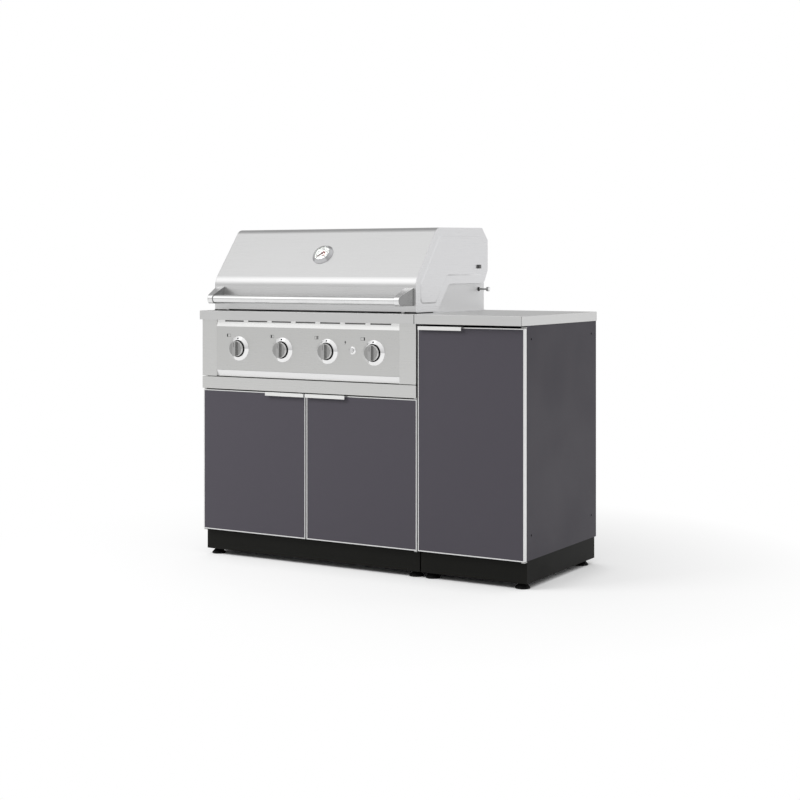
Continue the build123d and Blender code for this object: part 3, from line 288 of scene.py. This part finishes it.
# painted shade and heat stain: the dark firebox walls also stand for the shade in the gap under the hood's
# front
stained_and_shaded_steel = brushed("stained_and_shaded_steel", (0.09, 0.085, 0.08), 0.45, ALONG_X, 0.25)
zinc = brushed("zinc", (0.50, 0.50, 0.49), 0.38, NO_GRAIN, 0.10)
edge_metal = brushed("edge_metal", grey(0.78), 0.32, ALONG_Z)
pull_metal = brushed("pull_metal", (0.90, 0.90, 0.89), 0.35, ALONG_X)
knob_metal = knob_steel("knob_metal", (0.36, 0.36, 0.355), (0.44, 0.44, 0.435), knob_shoulder, 0.30)

bright_steel = polished("bright_steel", grey(0.76), 0.14)
mirror_steel = polished("mirror_steel", grey(0.86), 0.08)
rod_steel = polished("rod_steel", grey(0.55), 0.26)
brass = polished("brass", (0.62, 0.47, 0.22), 0.30)
# painted shade: the handle brackets' side faces get a darker tone than their other faces
bracket_steel = polished("bracket_steel", grey(0.78), 0.22, shaded_sides=grey(0.30), edge=2 * MM)
stud_steel = polished("stud_steel", grey(0.45), 0.25)
case_steel = polished("case_steel", (0.50, 0.50, 0.51), 0.10)
bolt_steel = polished("bolt_steel", grey(0.13), 0.30)
vent_grey = polished("vent_grey", grey(0.14), 0.40)
button_metal = polished("button_metal", grey(0.70), 0.20)

slate = painted("slate", (0.066, 0.061, 0.0735), 0.5, edge_tone=(0.11, 0.105, 0.12), specular=0.18)
slate_inside = painted("slate_inside", (0.07, 0.066, 0.078), 0.5)
plinth_black = painted("plinth_black", (0.008, 0.008, 0.007), 0.55, 900.0, 0.2, grey(0.02), 0.10)
foot_black = painted("foot_black", grey(0.006), 0.5, 700.0, 0.2, specular=0.1)
mark_black = painted("mark_black", grey(0.012), 0.6, 900.0, 0.05, specular=0.15)
print_grey = painted("print_grey", grey(0.10), 0.6, 900.0, 0.03, specular=0.2)
dial_white = painted("dial_white", (0.82, 0.82, 0.80), 0.4, 900.0, 0.03)
dial_red = painted("dial_red", (0.62, 0.16, 0.13), 0.4, 900.0, 0.03)
dial_grey = painted("dial_grey", grey(0.42), 0.4, 900.0, 0.03)
needle_red = painted("needle_red", (0.09, 0.008, 0.007), 0.5, 900.0, 0.03)
lens_glass = glass("lens_glass", (0.97, 0.98, 0.98), refraction=1.1, smear=0.06)

by_material = (
    (hood_steel, ("lid_skin",)),
    (cap_steel, ("lid_end_left", "lid_end_right")),
    (panel_steel, ("control_panel",)),
    (fascia_steel, ("fascia_stiles", "apron_rail")),
    (tray_steel, ("drip_tray",)),
    (counter_steel, ("grill_countertop", "storage_countertop")),
    (fire_steel, ("firebox_sides", "burner_tubes", "tray_runners")),
    (stained_and_shaded_steel, ("firebox_walls", "flame_tamers")),
    (bright_steel, ("lid_handle_bar",)),
    (bracket_steel, ("lid_handle_brackets",)),
    (stud_steel, ("rotisserie_stud",)),
    (case_steel, ("thermometer_case",)),
    (bolt_steel, ("lid_pivot_bolts",)),
    (mirror_steel, ("control_bezels",)),
    (knob_metal, ("knob_1", "knob_2", "knob_3", "knob_4")),
    (rod_steel, ("cooking_grates", "warming_rack")),
    (zinc, ("top_stretchers", "shelf_pins", "door_pivot_brackets", "valve_stem_1", "valve_stem_2",
            "valve_stem_3", "valve_stem_4")),
    (brass, ("gas_manifold",)),
    (edge_metal, ("left_door_frame", "right_door_frame", "storage_door_frame")),
    (pull_metal, ("left_door_pull", "right_door_pull", "storage_door_pull")),
    (slate, ("grill_side_left", "grill_side_right", "grill_back", "storage_side_left", "storage_side_right",
             "storage_back", "left_door_panel", "right_door_panel", "storage_door_panel")),
    (slate_inside, ("grill_floor", "storage_floor", "storage_shelf")),
    (plinth_black, ("grill_plinth", "storage_plinth")),
    (foot_black, ("grill_feet", "storage_feet")),
    (button_metal, ("igniter_button",)),
    (dial_white, ("thermometer_dial",)),
    (needle_red, ("thermometer_needle",)),
    (lens_glass, ("thermometer_lens",)),
)
for material, names in by_material:
    for name in names:
        slots = nodes[name].data.materials
        slots.clear()
        slots.append(material)


# Mesh building blocks

NEARLY_ZERO = 1e-6
SHARP_ANGLE = math.radians(35)


def in_mm(pairs):
    """Pairs of millimetres, in metres."""
    return [(a * MM, b * MM) for a, b in pairs]


def placed(origin, outward, up=UP):
    """A frame on a surface: Z outward, Y as near to up as it goes."""
    z = Vector(outward).normalized()
    x = Vector(up).cross(z)
    if x.length < NEARLY_ZERO:
        x = Vector(RIGHT)
    x.normalize()
    y = z.cross(x)
    turn = Matrix((x, y, z)).transposed().to_4x4()
    return Matrix.Translation(Vector(origin)) @ turn


def lying(origin):
    """A frame on a level surface: Z up, Y to the back."""
    return placed(origin, UP, BACK)


def lathe(mesh, outline, place, steps):
    """A (radius, height) outline spun about the place's Z axis."""
    rings = []
    for radius, height in outline:
        if radius < NEARLY_ZERO:
            rings.append([mesh.verts.new(place @ Vector((0, 0, height)))])
            continue
        ring = []
        for k in range(steps):
            turn = 2 * math.pi * k / steps
            spot = Vector((radius * math.cos(turn), radius * math.sin(turn), height))
            ring.append(mesh.verts.new(place @ spot))
        rings.append(ring)
    for low, high in zip(rings, rings[1:]):
        for k in range(steps):
            after = k + 1
            corners = [low[k % len(low)], low[after % len(low)], high[after % len(high)], high[k % len(high)]]
            unique = list(dict.fromkeys(corners))
            if len(unique) > 2:
                mesh.faces.new(unique)


def plate(mesh, corners, height, place):
    """A flat outline raised off the place's plane."""
    low = [mesh.verts.new(place @ Vector((x, y, 0))) for x, y in corners]
    high = [mesh.verts.new(place @ Vector((x, y, height))) for x, y in corners]
    mesh.faces.new(high)
    mesh.faces.new(low[::-1])
    count = len(corners)
    for k in range(count):
        mesh.faces.new([low[k], low[(k + 1) % count], high[(k + 1) % count], high[k]])


def bar(mesh, x0, x1, y0, y1, height, place):
    """An oblong raised off the place's plane."""
    plate(mesh, [(x0, y0), (x1, y0), (x1, y1), (x0, y1)], height, place)


def sector(mesh, inner, outer, start, end, height, place, steps=24):
    """Part of a flat ring, between two angles in degrees."""
    turns = [math.radians(start + (end - start) * k / steps) for k in range(steps + 1)]
    rim = [(outer * math.cos(t), outer * math.sin(t)) for t in turns]
    core = [(inner * math.cos(t), inner * math.sin(t)) for t in reversed(turns)]
    plate(mesh, rim + core, height, place)


def piece(name, mesh, material, body, smooth=True):
    """A named piece that rides a body."""
    data = bpy.data.meshes.new(name)
    bmesh.ops.recalc_face_normals(mesh, faces=mesh.faces)
    mesh.to_mesh(data)
    mesh.free()
    data.materials.append(material)
    if smooth:
        data.shade_smooth()
        data.set_sharp_from_angle(angle=SHARP_ANGLE)
    obj = bpy.data.objects.new(name, data)
    bpy.context.scene.collection.objects.link(obj)
    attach(obj, body)


# Control panel marks and knob trim

panel_low, panel_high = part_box("control_panel")
panel_face = panel_low.y
knob_boxes = [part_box(f"knob_{k}") for k in (1, 2, 3, 4)]
knob_centres = [(low + high) / 2 for low, high in knob_boxes]

PRINT_RELIEF = 0.12 * MM
FILLED_RELIEF = 0.16 * MM
SIGN_WIDTH = 17 * MM
SIGN_HEIGHT = 11 * MM
SIGN_LINE = 0.9 * MM
SIGN_ASIDE = 45.7 * MM  # left of and above the knob's axis
SIGN_RISE = 47 * MM
SPARK_ASIDE = 30 * MM  # left of and above the igniter's axis
SPARK_RISE = 26 * MM
SPARK_OUTLINE = ((-2, 6), (2.2, 6), (0.6, 1.6), (3.2, 1.6), (-1.8, -7), (-0.4, -0.6), (-3, -0.6))

DOT_OUTLINE = ((3.3, 0), (3.3, 0.6), (0, 0.65))
DOT_REACH = 6.5 * MM  # in front of the panel
DOT_RISE = 37 * MM  # above the knob's axis
DOT_SINK = 0.3 * MM
DOT_OUTWARD = Vector((0, -10.5, 7.5))  # square to the bezel's cone
DOT_UP = (0.1, 0.2, 1)
# painted shadow between the knob and its bezel
SHADOW_RING_OUTLINE = ((9, 1.0), (9, 1.3), (30.9, 1.3), (30.9, 1.0))

# painted highlight as a bright sleeve round the knob, and painted shade as a dark skirt where it meets its
# bezel
HIGHLIGHT_SLEEVE_OUTLINE = ((28.0, -10.5), (28.1, -10.3), (27.42, -0.2), (27.2, 0.08), (26.9, 0.08), (26.8, -0.1))
SHADOW_SKIRT_OUTLINE = ((28.6, -18.8), (28.07, -10.5), (27.9, -10.5))
# painted shade of a pointer groove, as a dark line on the grip
POINTER_HALF_WIDTH = 0.7 * MM
POINTER_LOW = 6 * MM  # above the knob's axis
POINTER_HIGH = 22 * MM
POINTER_RELIEF = 0.08 * MM


def panel_signs():
    """By each knob, a small outline of the burners with its own one filled in; a spark by the igniter."""
    outlines, filled = bmesh.new(), bmesh.new()
    x0, x1, y0, y1 = -SIGN_WIDTH / 2, SIGN_WIDTH / 2, -SIGN_HEIGHT / 2, SIGN_HEIGHT / 2
    strips = (
        (x0, x1, y0, y0 + SIGN_LINE), (x0, x1, y1 - SIGN_LINE, y1),
        (x0, x0 + SIGN_LINE, y0, y1), (x1 - SIGN_LINE, x1, y0, y1),
    )
    cell = SIGN_WIDTH / len(knob_centres)
    for index, centre in enumerate(knob_centres):
        place = placed((centre.x - SIGN_ASIDE, panel_face, centre.z + SIGN_RISE), FRONT)
        for strip in strips:
            bar(outlines, *strip, PRINT_RELIEF, place)
        left = x0 + cell * index
        bar(filled, left, left + cell, y0, y1, FILLED_RELIEF, place)
    low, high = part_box("igniter_button")
    button = (low + high) / 2
    place = placed((button.x - SPARK_ASIDE, panel_face, button.z + SPARK_RISE), FRONT)
    plate(filled, in_mm(SPARK_OUTLINE), PRINT_RELIEF, place)
    piece("panel_mark_outlines", outlines, print_grey, "cabinets", smooth=False)
    piece("panel_marks", filled, mark_black, "cabinets", smooth=False)


def bezel_marks():
    """A round mark at the top of each bezel's cone, and painted shadow as a dark ring on its floor round the
    knob.
    """
    dots, rings = bmesh.new(), bmesh.new()
    sink = DOT_OUTWARD.normalized() * DOT_SINK
    for centre in knob_centres:
        spot = Vector((centre.x, panel_face - DOT_REACH, centre.z + DOT_RISE)) - sink
        lathe(dots, in_mm(DOT_OUTLINE), placed(spot, DOT_OUTWARD, DOT_UP), steps=20)
        lathe(rings, in_mm(SHADOW_RING_OUTLINE), placed((centre.x, panel_face, centre.z), FRONT), steps=64)
    piece("bezel_marks", dots, mark_black, "cabinets")
    piece("bezel_shadow_rings", rings, mark_black, "cabinets")


def knob_trim(index):
    """Painted highlight as a bright sleeve round the knob, painted shade as a dark skirt behind it, and a
    groove's shade painted as a dark pointer line on the grip.
    """
    centre = knob_centres[index]
    body = f"knob_{index + 1}"
    shoulder = placed((centre.x, knob_shoulder, centre.z), FRONT)
    grip = placed((centre.x, knob_boxes[index][0].y, centre.z), FRONT)
    highlight_sleeve, shadow_skirt, pointer_shade = bmesh.new(), bmesh.new(), bmesh.new()
    lathe(highlight_sleeve, in_mm(HIGHLIGHT_SLEEVE_OUTLINE), shoulder, steps=64)
    lathe(shadow_skirt, in_mm(SHADOW_SKIRT_OUTLINE), shoulder, steps=64)
    bar(pointer_shade, -POINTER_HALF_WIDTH, POINTER_HALF_WIDTH, POINTER_LOW, POINTER_HIGH, POINTER_RELIEF, grip)
    piece(f"{body}_sleeve", highlight_sleeve, mirror_steel, body)
    piece(f"{body}_skirt", shadow_skirt, mark_black, body)
    piece(f"{body}_pointer", pointer_shade, mark_black, body, smooth=False)


panel_signs()
bezel_marks()
for number in range(len(knob_boxes)):
    knob_trim(number)


# Thermometer dial

DIAL_DEPTH = 1.2 * MM  # behind the needle's joint
DIAL_RELIEF = 0.2 * MM
SCALE_START = 225  # degrees, read clockwise
SCALE_SWEEP = 270
SCALE_RING = (21.6 * MM, 23.0 * MM)
HOT_RING = (9.5 * MM, 12.8 * MM)
HOT_ARC = (-70, 30)
TICK_STEP = 10
TICKS_TO_LONG_ONE = 3
TICK_END = 28.4 * MM
TICK_LONG = 3.2 * MM
TICK_SHORT = 1.8 * MM
TICK_HALF_WIDTH = 0.4 * MM
CUP_WALL = ((30.4, 0.05), (30.4, 3.2), (30.0, 3.2), (30.0, 0.05))
NUMBERS = (100, 250, 400, 550, 700)
NUMBER_SIZE = 6.2 * MM
NUMBER_RADIUS = 17 * MM
NUMBER_LIFT = 0.12 * MM
NUMBER_RELIEF = 0.1 * MM

needle_joint = joints["thermometer_needle_turn"]
gauge_out = -Vector(needle_joint["axis"]).normalized()
gauge_face = placed(Vector(needle_joint["pos_m"]) - gauge_out * DIAL_DEPTH, gauge_out)


def dial_scale():
    """Scale arcs and ticks on the dial, and the white wall of the cup."""
    ring, hot, ticks, wall = bmesh.new(), bmesh.new(), bmesh.new(), bmesh.new()
    sector(ring, *SCALE_RING, SCALE_START - SCALE_SWEEP, SCALE_START, DIAL_RELIEF, gauge_face)
    sector(hot, *HOT_RING, *HOT_ARC, DIAL_RELIEF, gauge_face)
    for k in range(SCALE_SWEEP // TICK_STEP + 1):
        turn = Matrix.Rotation(math.radians(SCALE_START - TICK_STEP * k), 4, "Z")
        start = TICK_END - (TICK_LONG if k % TICKS_TO_LONG_ONE == 0 else TICK_SHORT)
        bar(ticks, start, TICK_END, -TICK_HALF_WIDTH, TICK_HALF_WIDTH, DIAL_RELIEF, gauge_face @ turn)
    lathe(wall, in_mm(CUP_WALL), gauge_face, steps=64)
    piece("dial_arc_grey", ring, dial_grey, "lid", smooth=False)
    piece("dial_arc_red", hot, dial_red, "lid", smooth=False)
    piece("dial_ticks", ticks, print_grey, "lid", smooth=False)
    piece("dial_wall", wall, dial_white, "lid")


def dial_number(k):
    """One plain number on the dial."""
    text = bpy.data.curves.new(f"dial_number_{k}", "FONT")
    text.body = str(NUMBERS[k])
    text.size = NUMBER_SIZE
    text.extrude = NUMBER_RELIEF
    text.align_x = "CENTER"
    text.align_y = "CENTER"
    text.materials.append(print_grey)
    number = bpy.data.objects.new(f"dial_number_{k}", text)
    bpy.context.scene.collection.objects.link(number)
    turn = math.radians(SCALE_START - SCALE_SWEEP * k / (len(NUMBERS) - 1))
    spot = (NUMBER_RADIUS * math.cos(turn), NUMBER_RADIUS * math.sin(turn), NUMBER_LIFT)
    number.matrix_world = gauge_face @ Matrix.Translation(spot)
    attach(number, "lid")


dial_scale()
for number in range(len(NUMBERS)):
    dial_number(number)


# Screws on the back

SCREW_DOME = ((3.2, 0.0), (3.2, 0.4), (2.96, 0.88), (2.4, 1.36), (1.6, 1.68), (0.0, 1.84))
RECESS_RISE = 1.72 * MM
RECESS_HALF_LENGTH = 1.52 * MM
RECESS_HALF_WIDTH = 0.28 * MM
RECESS_RELIEF = 0.2 * MM
SCREW_INSET = 12 * MM  # from a back panel's sides, foot and top
SCREW_ABOVE = 20 * MM
SCREW_BELOW = 40 * MM
SCREW_COUNT = 5


def screw_places():
    """Places along both upright edges of the two back panels."""
    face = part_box("grill_back")[1].y
    places = []
    for node in ("grill_back", "storage_back"):
        low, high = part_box(node)
        span = high.z - low.z - SCREW_ABOVE - SCREW_BELOW
        for x in (low.x + SCREW_INSET, high.x - SCREW_INSET):
            for k in range(SCREW_COUNT):
                z = low.z + SCREW_ABOVE + span * k / (SCREW_COUNT - 1)
                places.append(placed((x, face, z), BACK))
    return places


def back_screws():
    """Pan-head screws, each with painted shade as a dark cross where its recess is."""
    heads, slots = bmesh.new(), bmesh.new()
    long, short = RECESS_HALF_LENGTH, RECESS_HALF_WIDTH
    for place in screw_places():
        lathe(heads, in_mm(SCREW_DOME), place, steps=20)
        # painted shade: black bars stand for the cross recess
        top = place @ Matrix.Translation((0, 0, RECESS_RISE))
        bar(slots, -long, long, -short, short, RECESS_RELIEF, top)
        bar(slots, -short, short, -long, long, RECESS_RELIEF, top)
    piece("back_screws_heads", heads, zinc, "cabinets")
    piece("back_screws_recess_shade", slots, mark_black, "cabinets", smooth=False)


back_screws()


# Under the hood's front edge

lid_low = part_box("lid_skin")[0]
counter_low, counter_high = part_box("grill_countertop")
hood_gap = lid_low.z - counter_high.z

PAD_OUTLINE = ((6, 0), (6, 0.6), (5, 0.95), (0, 1))  # radius in mm, height as a share of the gap
PAD_RADIUS = PAD_OUTLINE[0][0] * MM
PAD_SETBACK = 2 * MM
PAD_LEFT = knob_centres[0].x - 84 * MM
PAD_RIGHT = knob_centres[3].x + 90 * MM
# painted shade in the gap under the hood's front edge and along its sides
GAP_SHADE_LEFT = knob_centres[0].x - 80 * MM
GAP_SHADE_SETBACK = 3.5 * MM
GAP_SHADE_DEPTH = 3 * MM
GAP_SHADE_PLAY = 0.4 * MM
GAP_SHADE_SIDE_WIDTH = 1 * MM
GAP_SHADE_SIDE_LENGTH = 110 * MM
# painted shadow of the gap between hood and counter, on the hood's lower edge
EDGE_SHADOW_SETBACK = 0.3 * MM
EDGE_SHADOW_HEIGHT = 1.7 * MM
EDGE_SHADOW_THICKNESS = 0.42 * MM
EDGE_SHADOW_END = 1.5 * MM  # short of the end cap's outer face


def hood_pads():
    """Two pads on the counter that the hood's front edge comes down on."""
    pads = bmesh.new()
    for x in (PAD_LEFT, PAD_RIGHT):
        pad = lying((x, lid_low.y + PAD_SETBACK, counter_high.z))
        lathe(pads, [(radius * MM, share * hood_gap) for radius, share in PAD_OUTLINE], pad, steps=24)
    piece("hood_pads", pads, dial_grey, "cabinets")


def hood_gasket():
    """Painted shade in the gap under the hood: a black strip on the counter behind the hood's front edge, and
    one along each side of the firebox.
    """
    gap_shade = bmesh.new()
    firebox_low, firebox_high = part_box("firebox_sides")
    height = hood_gap - GAP_SHADE_PLAY
    place = lying((0, lid_low.y + GAP_SHADE_SETBACK, counter_high.z))
    bar(gap_shade, GAP_SHADE_LEFT, firebox_high.x, 0, GAP_SHADE_DEPTH, height, place)
    for left in (firebox_low.x - GAP_SHADE_SIDE_WIDTH, firebox_high.x):
        bar(gap_shade, left, left + GAP_SHADE_SIDE_WIDTH, 0, GAP_SHADE_SIDE_LENGTH, height, place)
    piece("hood_gasket", gap_shade, mark_black, "cabinets", smooth=False)


def hood_seal():
    """Painted shadow of the gap: a black strip along the hood's lower front edge, broken at the pads."""
    edge_shadow = bmesh.new()
    right_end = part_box("lid_end_right")[1].x - EDGE_SHADOW_END
    place = placed((0, lid_low.y + EDGE_SHADOW_SETBACK, lid_low.z), FRONT)
    for x0, x1 in ((PAD_LEFT + PAD_RADIUS, PAD_RIGHT - PAD_RADIUS), (PAD_RIGHT + PAD_RADIUS, right_end)):
        bar(edge_shadow, x0, x1, 0, EDGE_SHADOW_HEIGHT, EDGE_SHADOW_THICKNESS, place)
    piece("hood_seal", edge_shadow, mark_black, "lid", smooth=False)


hood_pads()
hood_gasket()
hood_seal()


# Counter edges, vents and stud

LINE_LOW = 0.3 * MM  # left bare at a counter's lower and upper edge
LINE_TOP = 2.2 * MM
JOINT_SETBACK = 2.2 * MM
JOINT_HALF_WIDTH = 1.24 * MM
JOINT_DEPTH = 2.05 * MM
FOLD_INSET = 0.9 * MM
FOLD_HALF_WIDTH = 0.5 * MM
FOLD_DEPTH = 0.45 * MM
HEM_INSET = 2 * MM
HEM_FRONT = 1.4 * MM
HEM_BACK = 19.5 * MM
HEM_THICKNESS = 0.8 * MM
BAFFLE_SETBACK = 7.6 * MM
BAFFLE_INSET = 4 * MM
BAFFLE_THICKNESS = 0.4 * MM
BAFFLE_LOW = 9 * MM  # below the panel's top
BAFFLE_TOP = 2.2 * MM
STUD_FACE_OUTLINE = ((6.6, 0), (6.4, 0.25), (0, 0.3))
STUD_COLLAR_OUTLINE = ((7.6, 0.1), (7.6, 2.45), (3.6, 2.45))


def counter_lines():
    """Painted shade: dark lines in the gap at the joint between the counters and along the folds of their
    corners.
    """
    lines = bmesh.new()
    middle = (counter_low.z + counter_high.z) / 2
    half = (counter_high.z - counter_low.z) / 2
    low, top = LINE_LOW - half, half - LINE_TOP
    seam = placed((counter_high.x, counter_low.y + JOINT_SETBACK, middle), FRONT)
    bar(lines, -JOINT_HALF_WIDTH, JOINT_HALF_WIDTH, low, top, JOINT_DEPTH, seam)
    for end_x, out_x in ((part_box("storage_countertop")[1].x, 1), (counter_low.x, -1)):
        for end_y, out_y in ((counter_low.y, -1), (counter_high.y, 1)):
            corner = (end_x - out_x * FOLD_INSET, end_y - out_y * FOLD_INSET, middle)
            fold = placed(corner, (out_x, out_y, 0))
            bar(lines, -FOLD_HALF_WIDTH, FOLD_HALF_WIDTH, low, top, FOLD_DEPTH, fold)
    piece("counter_shade_lines", lines, mark_black, "cabinets", smooth=False)


def counter_hem():
    """Painted light: a bright hem of mirror steel, brighter than the counter's own, under the front of the
    grill's counter, which the panel's slope below mirrors.
    """
    hem = bmesh.new()
    place = lying((0, counter_low.y, counter_low.z))
    x0, x1 = counter_low.x + HEM_INSET, counter_high.x - HEM_INSET
    bar(hem, x0, x1, HEM_FRONT, HEM_BACK, HEM_THICKNESS, place)
    # painted light: mirror steel instead of the counter's own, so the slope below mirrors a bright strip
    piece("counter_hem", hem, mirror_steel, "cabinets", smooth=False)


def vent_baffle():
    """A grey strip inside the panel, behind its vents."""
    baffle = bmesh.new()
    middle = (panel_low.x + panel_high.x) / 2
    reach = (panel_high.x - panel_low.x) / 2 - BAFFLE_INSET
    place = placed((middle, panel_face + BAFFLE_SETBACK, panel_high.z), FRONT)
    bar(baffle, -reach, reach, -BAFFLE_LOW, -BAFFLE_TOP, BAFFLE_THICKNESS, place)
    piece("vent_baffle", baffle, vent_grey, "cabinets", smooth=False)


def stud_trim():
    """The bright face of the stud's cap, and a black collar at its foot."""
    low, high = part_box("rotisserie_stud")
    middle = (low + high) / 2
    face, collar = bmesh.new(), bmesh.new()
    lathe(face, in_mm(STUD_FACE_OUTLINE), placed((high.x, middle.y, middle.z), RIGHT), steps=24)
    lathe(collar, in_mm(STUD_COLLAR_OUTLINE), placed((low.x, middle.y, middle.z), RIGHT), steps=32)
    piece("stud_face", face, mirror_steel, "cabinets")
    piece("stud_collar", collar, mark_black, "cabinets")


counter_lines()
counter_hem()
vent_baffle()
stud_trim()


# Camera at the photograph's viewpoint

camera_data = bpy.data.cameras.new("camera")
camera_data.lens = 70.18
camera_data.sensor_width = 36.0
camera_data.shift_y = -0.1666
camera = bpy.data.objects.new("camera", camera_data)
camera.location = (2.913, -4.8661, 1.063)
camera.rotation_euler = (math.radians(90), 0, math.radians(30.70))
bpy.context.scene.collection.objects.link(camera)
bpy.context.scene.camera = camera


# Floor, light and background

FLOOR_TONE = 0.92
FLOOR_REACH = 30
FLOOR_SEGMENTS = 8
FLOOR_GLOW = (0.62, 1.0)  # share of plain white that the floor shows, near the set and away from it
FLOOR_FADE = (0.7, 1.6)  # distances from the middle of the set, in metres
COVER_DISTANCE = 0.25
COVER_RANGE = (0.2, 0.8)  # open sky over the floor, from shadow to plain white

EVEN_LIGHT = 0.62
AHEAD_LEVELS = (0.63, 1.0)  # the room in front, from eye level up
AHEAD_HEIGHTS = (0.0, 0.8)
BEHIND_LEVELS = (0.78, 1.0)  # the room behind, from left to right
BEHIND_SIDES = (-0.35, 0.5)
CORNER_DIM = 0.36  # taken off at the upper left of the room behind
CORNER_HEIGHTS = (0.1, 0.4)
CORNER_SIDES = (-0.2, 0.3)
FRONT_TO_BACK = (-0.15, 0.15)
WINDOW_TOWARD = (-0.51, -0.62, 0.60)
WINDOW_LEVEL = 0.70
WINDOW_COSINES = (0.91, 0.985)


def ray_is(tree, *kinds):
    """1 for the named kinds of ray."""
    path = tree.nodes.new("ShaderNodeLightPath")
    value = path.outputs[kinds[0]]
    for kind in kinds[1:]:
        value = combine(tree, "MAXIMUM", value, path.outputs[kind])
    return value


def floor_material():
    """Matt white that goes over into plain white away from the set and its shadow."""
    material = bpy.data.materials.new("floor_white")
    material.use_nodes = True
    tree = material.node_tree
    tree.nodes.clear()
    matt = tree.nodes.new("ShaderNodeBsdfDiffuse")
    matt.inputs["Color"].default_value = (*grey(FLOOR_TONE), 1)
    glow = tree.nodes.new("ShaderNodeEmission")
    glow.inputs["Color"].default_value = (1, 1, 1, 1)
    glow.inputs["Strength"].default_value = 1.0
    geometry = tree.nodes.new("ShaderNodeNewGeometry")
    reach = tree.nodes.new("ShaderNodeVectorMath")
    reach.operation = "LENGTH"
    tree.links.new(geometry.outputs["Position"], reach.inputs[0])
    cover = tree.nodes.new("ShaderNodeAmbientOcclusion")
    cover.inputs["Distance"].default_value = COVER_DISTANCE
    seen = ray_is(tree, "Is Camera Ray", "Is Glossy Ray", "Is Transmission Ray")
    fade = remap(tree, reach.outputs["Value"], *FLOOR_GLOW, *FLOOR_FADE)
    fade = combine(tree, "MULTIPLY", fade, remap(tree, cover.outputs["AO"], 0.0, 1.0, *COVER_RANGE))
    mix = tree.nodes.new("ShaderNodeMixShader")
    tree.links.new(combine(tree, "MULTIPLY", seen, fade), mix.inputs["Fac"])
    tree.links.new(matt.outputs["BSDF"], mix.inputs[1])
    tree.links.new(glow.outputs["Emission"], mix.inputs[2])
    out = tree.nodes.new("ShaderNodeOutputMaterial")
    tree.links.new(mix.outputs["Shader"], out.inputs["Surface"])
    return material


def studio_floor():
    """A wide, plain white floor."""
    mesh = bmesh.new()
    bmesh.ops.create_grid(mesh, x_segments=FLOOR_SEGMENTS, y_segments=FLOOR_SEGMENTS, size=FLOOR_REACH)
    data = bpy.data.meshes.new("floor")
    mesh.to_mesh(data)
    mesh.free()
    data.materials.append(floor_material())
    floor = bpy.data.objects.new("floor", data)
    bpy.context.scene.collection.objects.link(floor)


def room_level(tree):
    """The soft room that metal mirrors: bright ahead and overhead, dimmer behind, with one window."""
    coords = tree.nodes.new("ShaderNodeTexCoord")
    split = tree.nodes.new("ShaderNodeSeparateXYZ")
    tree.links.new(coords.outputs["Generated"], split.inputs["Vector"])
    x, y, z = split.outputs
    front = remap(tree, z, *AHEAD_LEVELS, *AHEAD_HEIGHTS)
    back = remap(tree, x, *BEHIND_LEVELS, *BEHIND_SIDES)
    dim = remap(tree, z, 0.0, CORNER_DIM, *CORNER_HEIGHTS)
    dim = combine(tree, "MULTIPLY", dim, remap(tree, x, 1.0, 0.0, *CORNER_SIDES))
    back = combine(tree, "SUBTRACT", back, dim)
    depth = remap(tree, y, 0.0, 1.0, *FRONT_TO_BACK)
    room = combine(tree, "MULTIPLY", depth, combine(tree, "SUBTRACT", back, front))
    room = combine(tree, "ADD", room, front)
    toward = tree.nodes.new("ShaderNodeVectorMath")
    toward.operation = "DOT_PRODUCT"
    toward.inputs[1].default_value = Vector(WINDOW_TOWARD).normalized()
    tree.links.new(coords.outputs["Generated"], toward.inputs[0])
    window = remap(tree, toward.outputs["Value"], 0.0, WINDOW_LEVEL, *WINDOW_COSINES)
    return combine(tree, "ADD", room, window)


def studio_world():
    """White behind the object and through the glass, the room in the metal, and even light elsewhere."""
    world = bpy.data.worlds.new("studio")
    bpy.context.scene.world = world
    world.use_nodes = True
    tree = world.node_tree
    background = tree.nodes["Background"]
    background.inputs["Color"].default_value = (1, 1, 1, 1)
    # What lies under glass gathers the even light and not the white
    straight = combine(tree, "LESS_THAN", ray_is(tree, "Diffuse Depth"), 0.5)
    through = combine(tree, "MULTIPLY", ray_is(tree, "Is Transmission Ray"), straight)
    seen = combine(tree, "MAXIMUM", ray_is(tree, "Is Camera Ray"), through)
    gloss = ray_is(tree, "Is Glossy Ray")
    plain = combine(tree, "SUBTRACT", 1.0, combine(tree, "MAXIMUM", seen, gloss))
    level = combine(tree, "MULTIPLY", plain, EVEN_LIGHT)
    level = combine(tree, "ADD", level, combine(tree, "MULTIPLY", gloss, room_level(tree)))
    level = combine(tree, "ADD", level, seen)
    tree.links.new(level, background.inputs["Strength"])


def softbox(name, location, target, size, power):
    """A square lamp turned to a target, which metal doesn't mirror."""
    data = bpy.data.lights.new(name, "AREA")
    data.shape = "RECTANGLE"
    data.size, data.size_y = size
    data.energy = power
    lamp = bpy.data.objects.new(name, data)
    lamp.location = location
    aim = Vector(target) - Vector(location)
    lamp.rotation_euler = aim.to_track_quat("-Z", "Y").to_euler()
    bpy.context.scene.collection.objects.link(lamp)
    lamp.visible_glossy = False


studio_floor()
studio_world()
softbox("key", location=(-2.6, -3.4, 3.6), target=(0.0, 0.0, 0.6), size=(2.4, 2.4), power=190.0)

bpy.context.scene.view_settings.view_transform = "Standard"
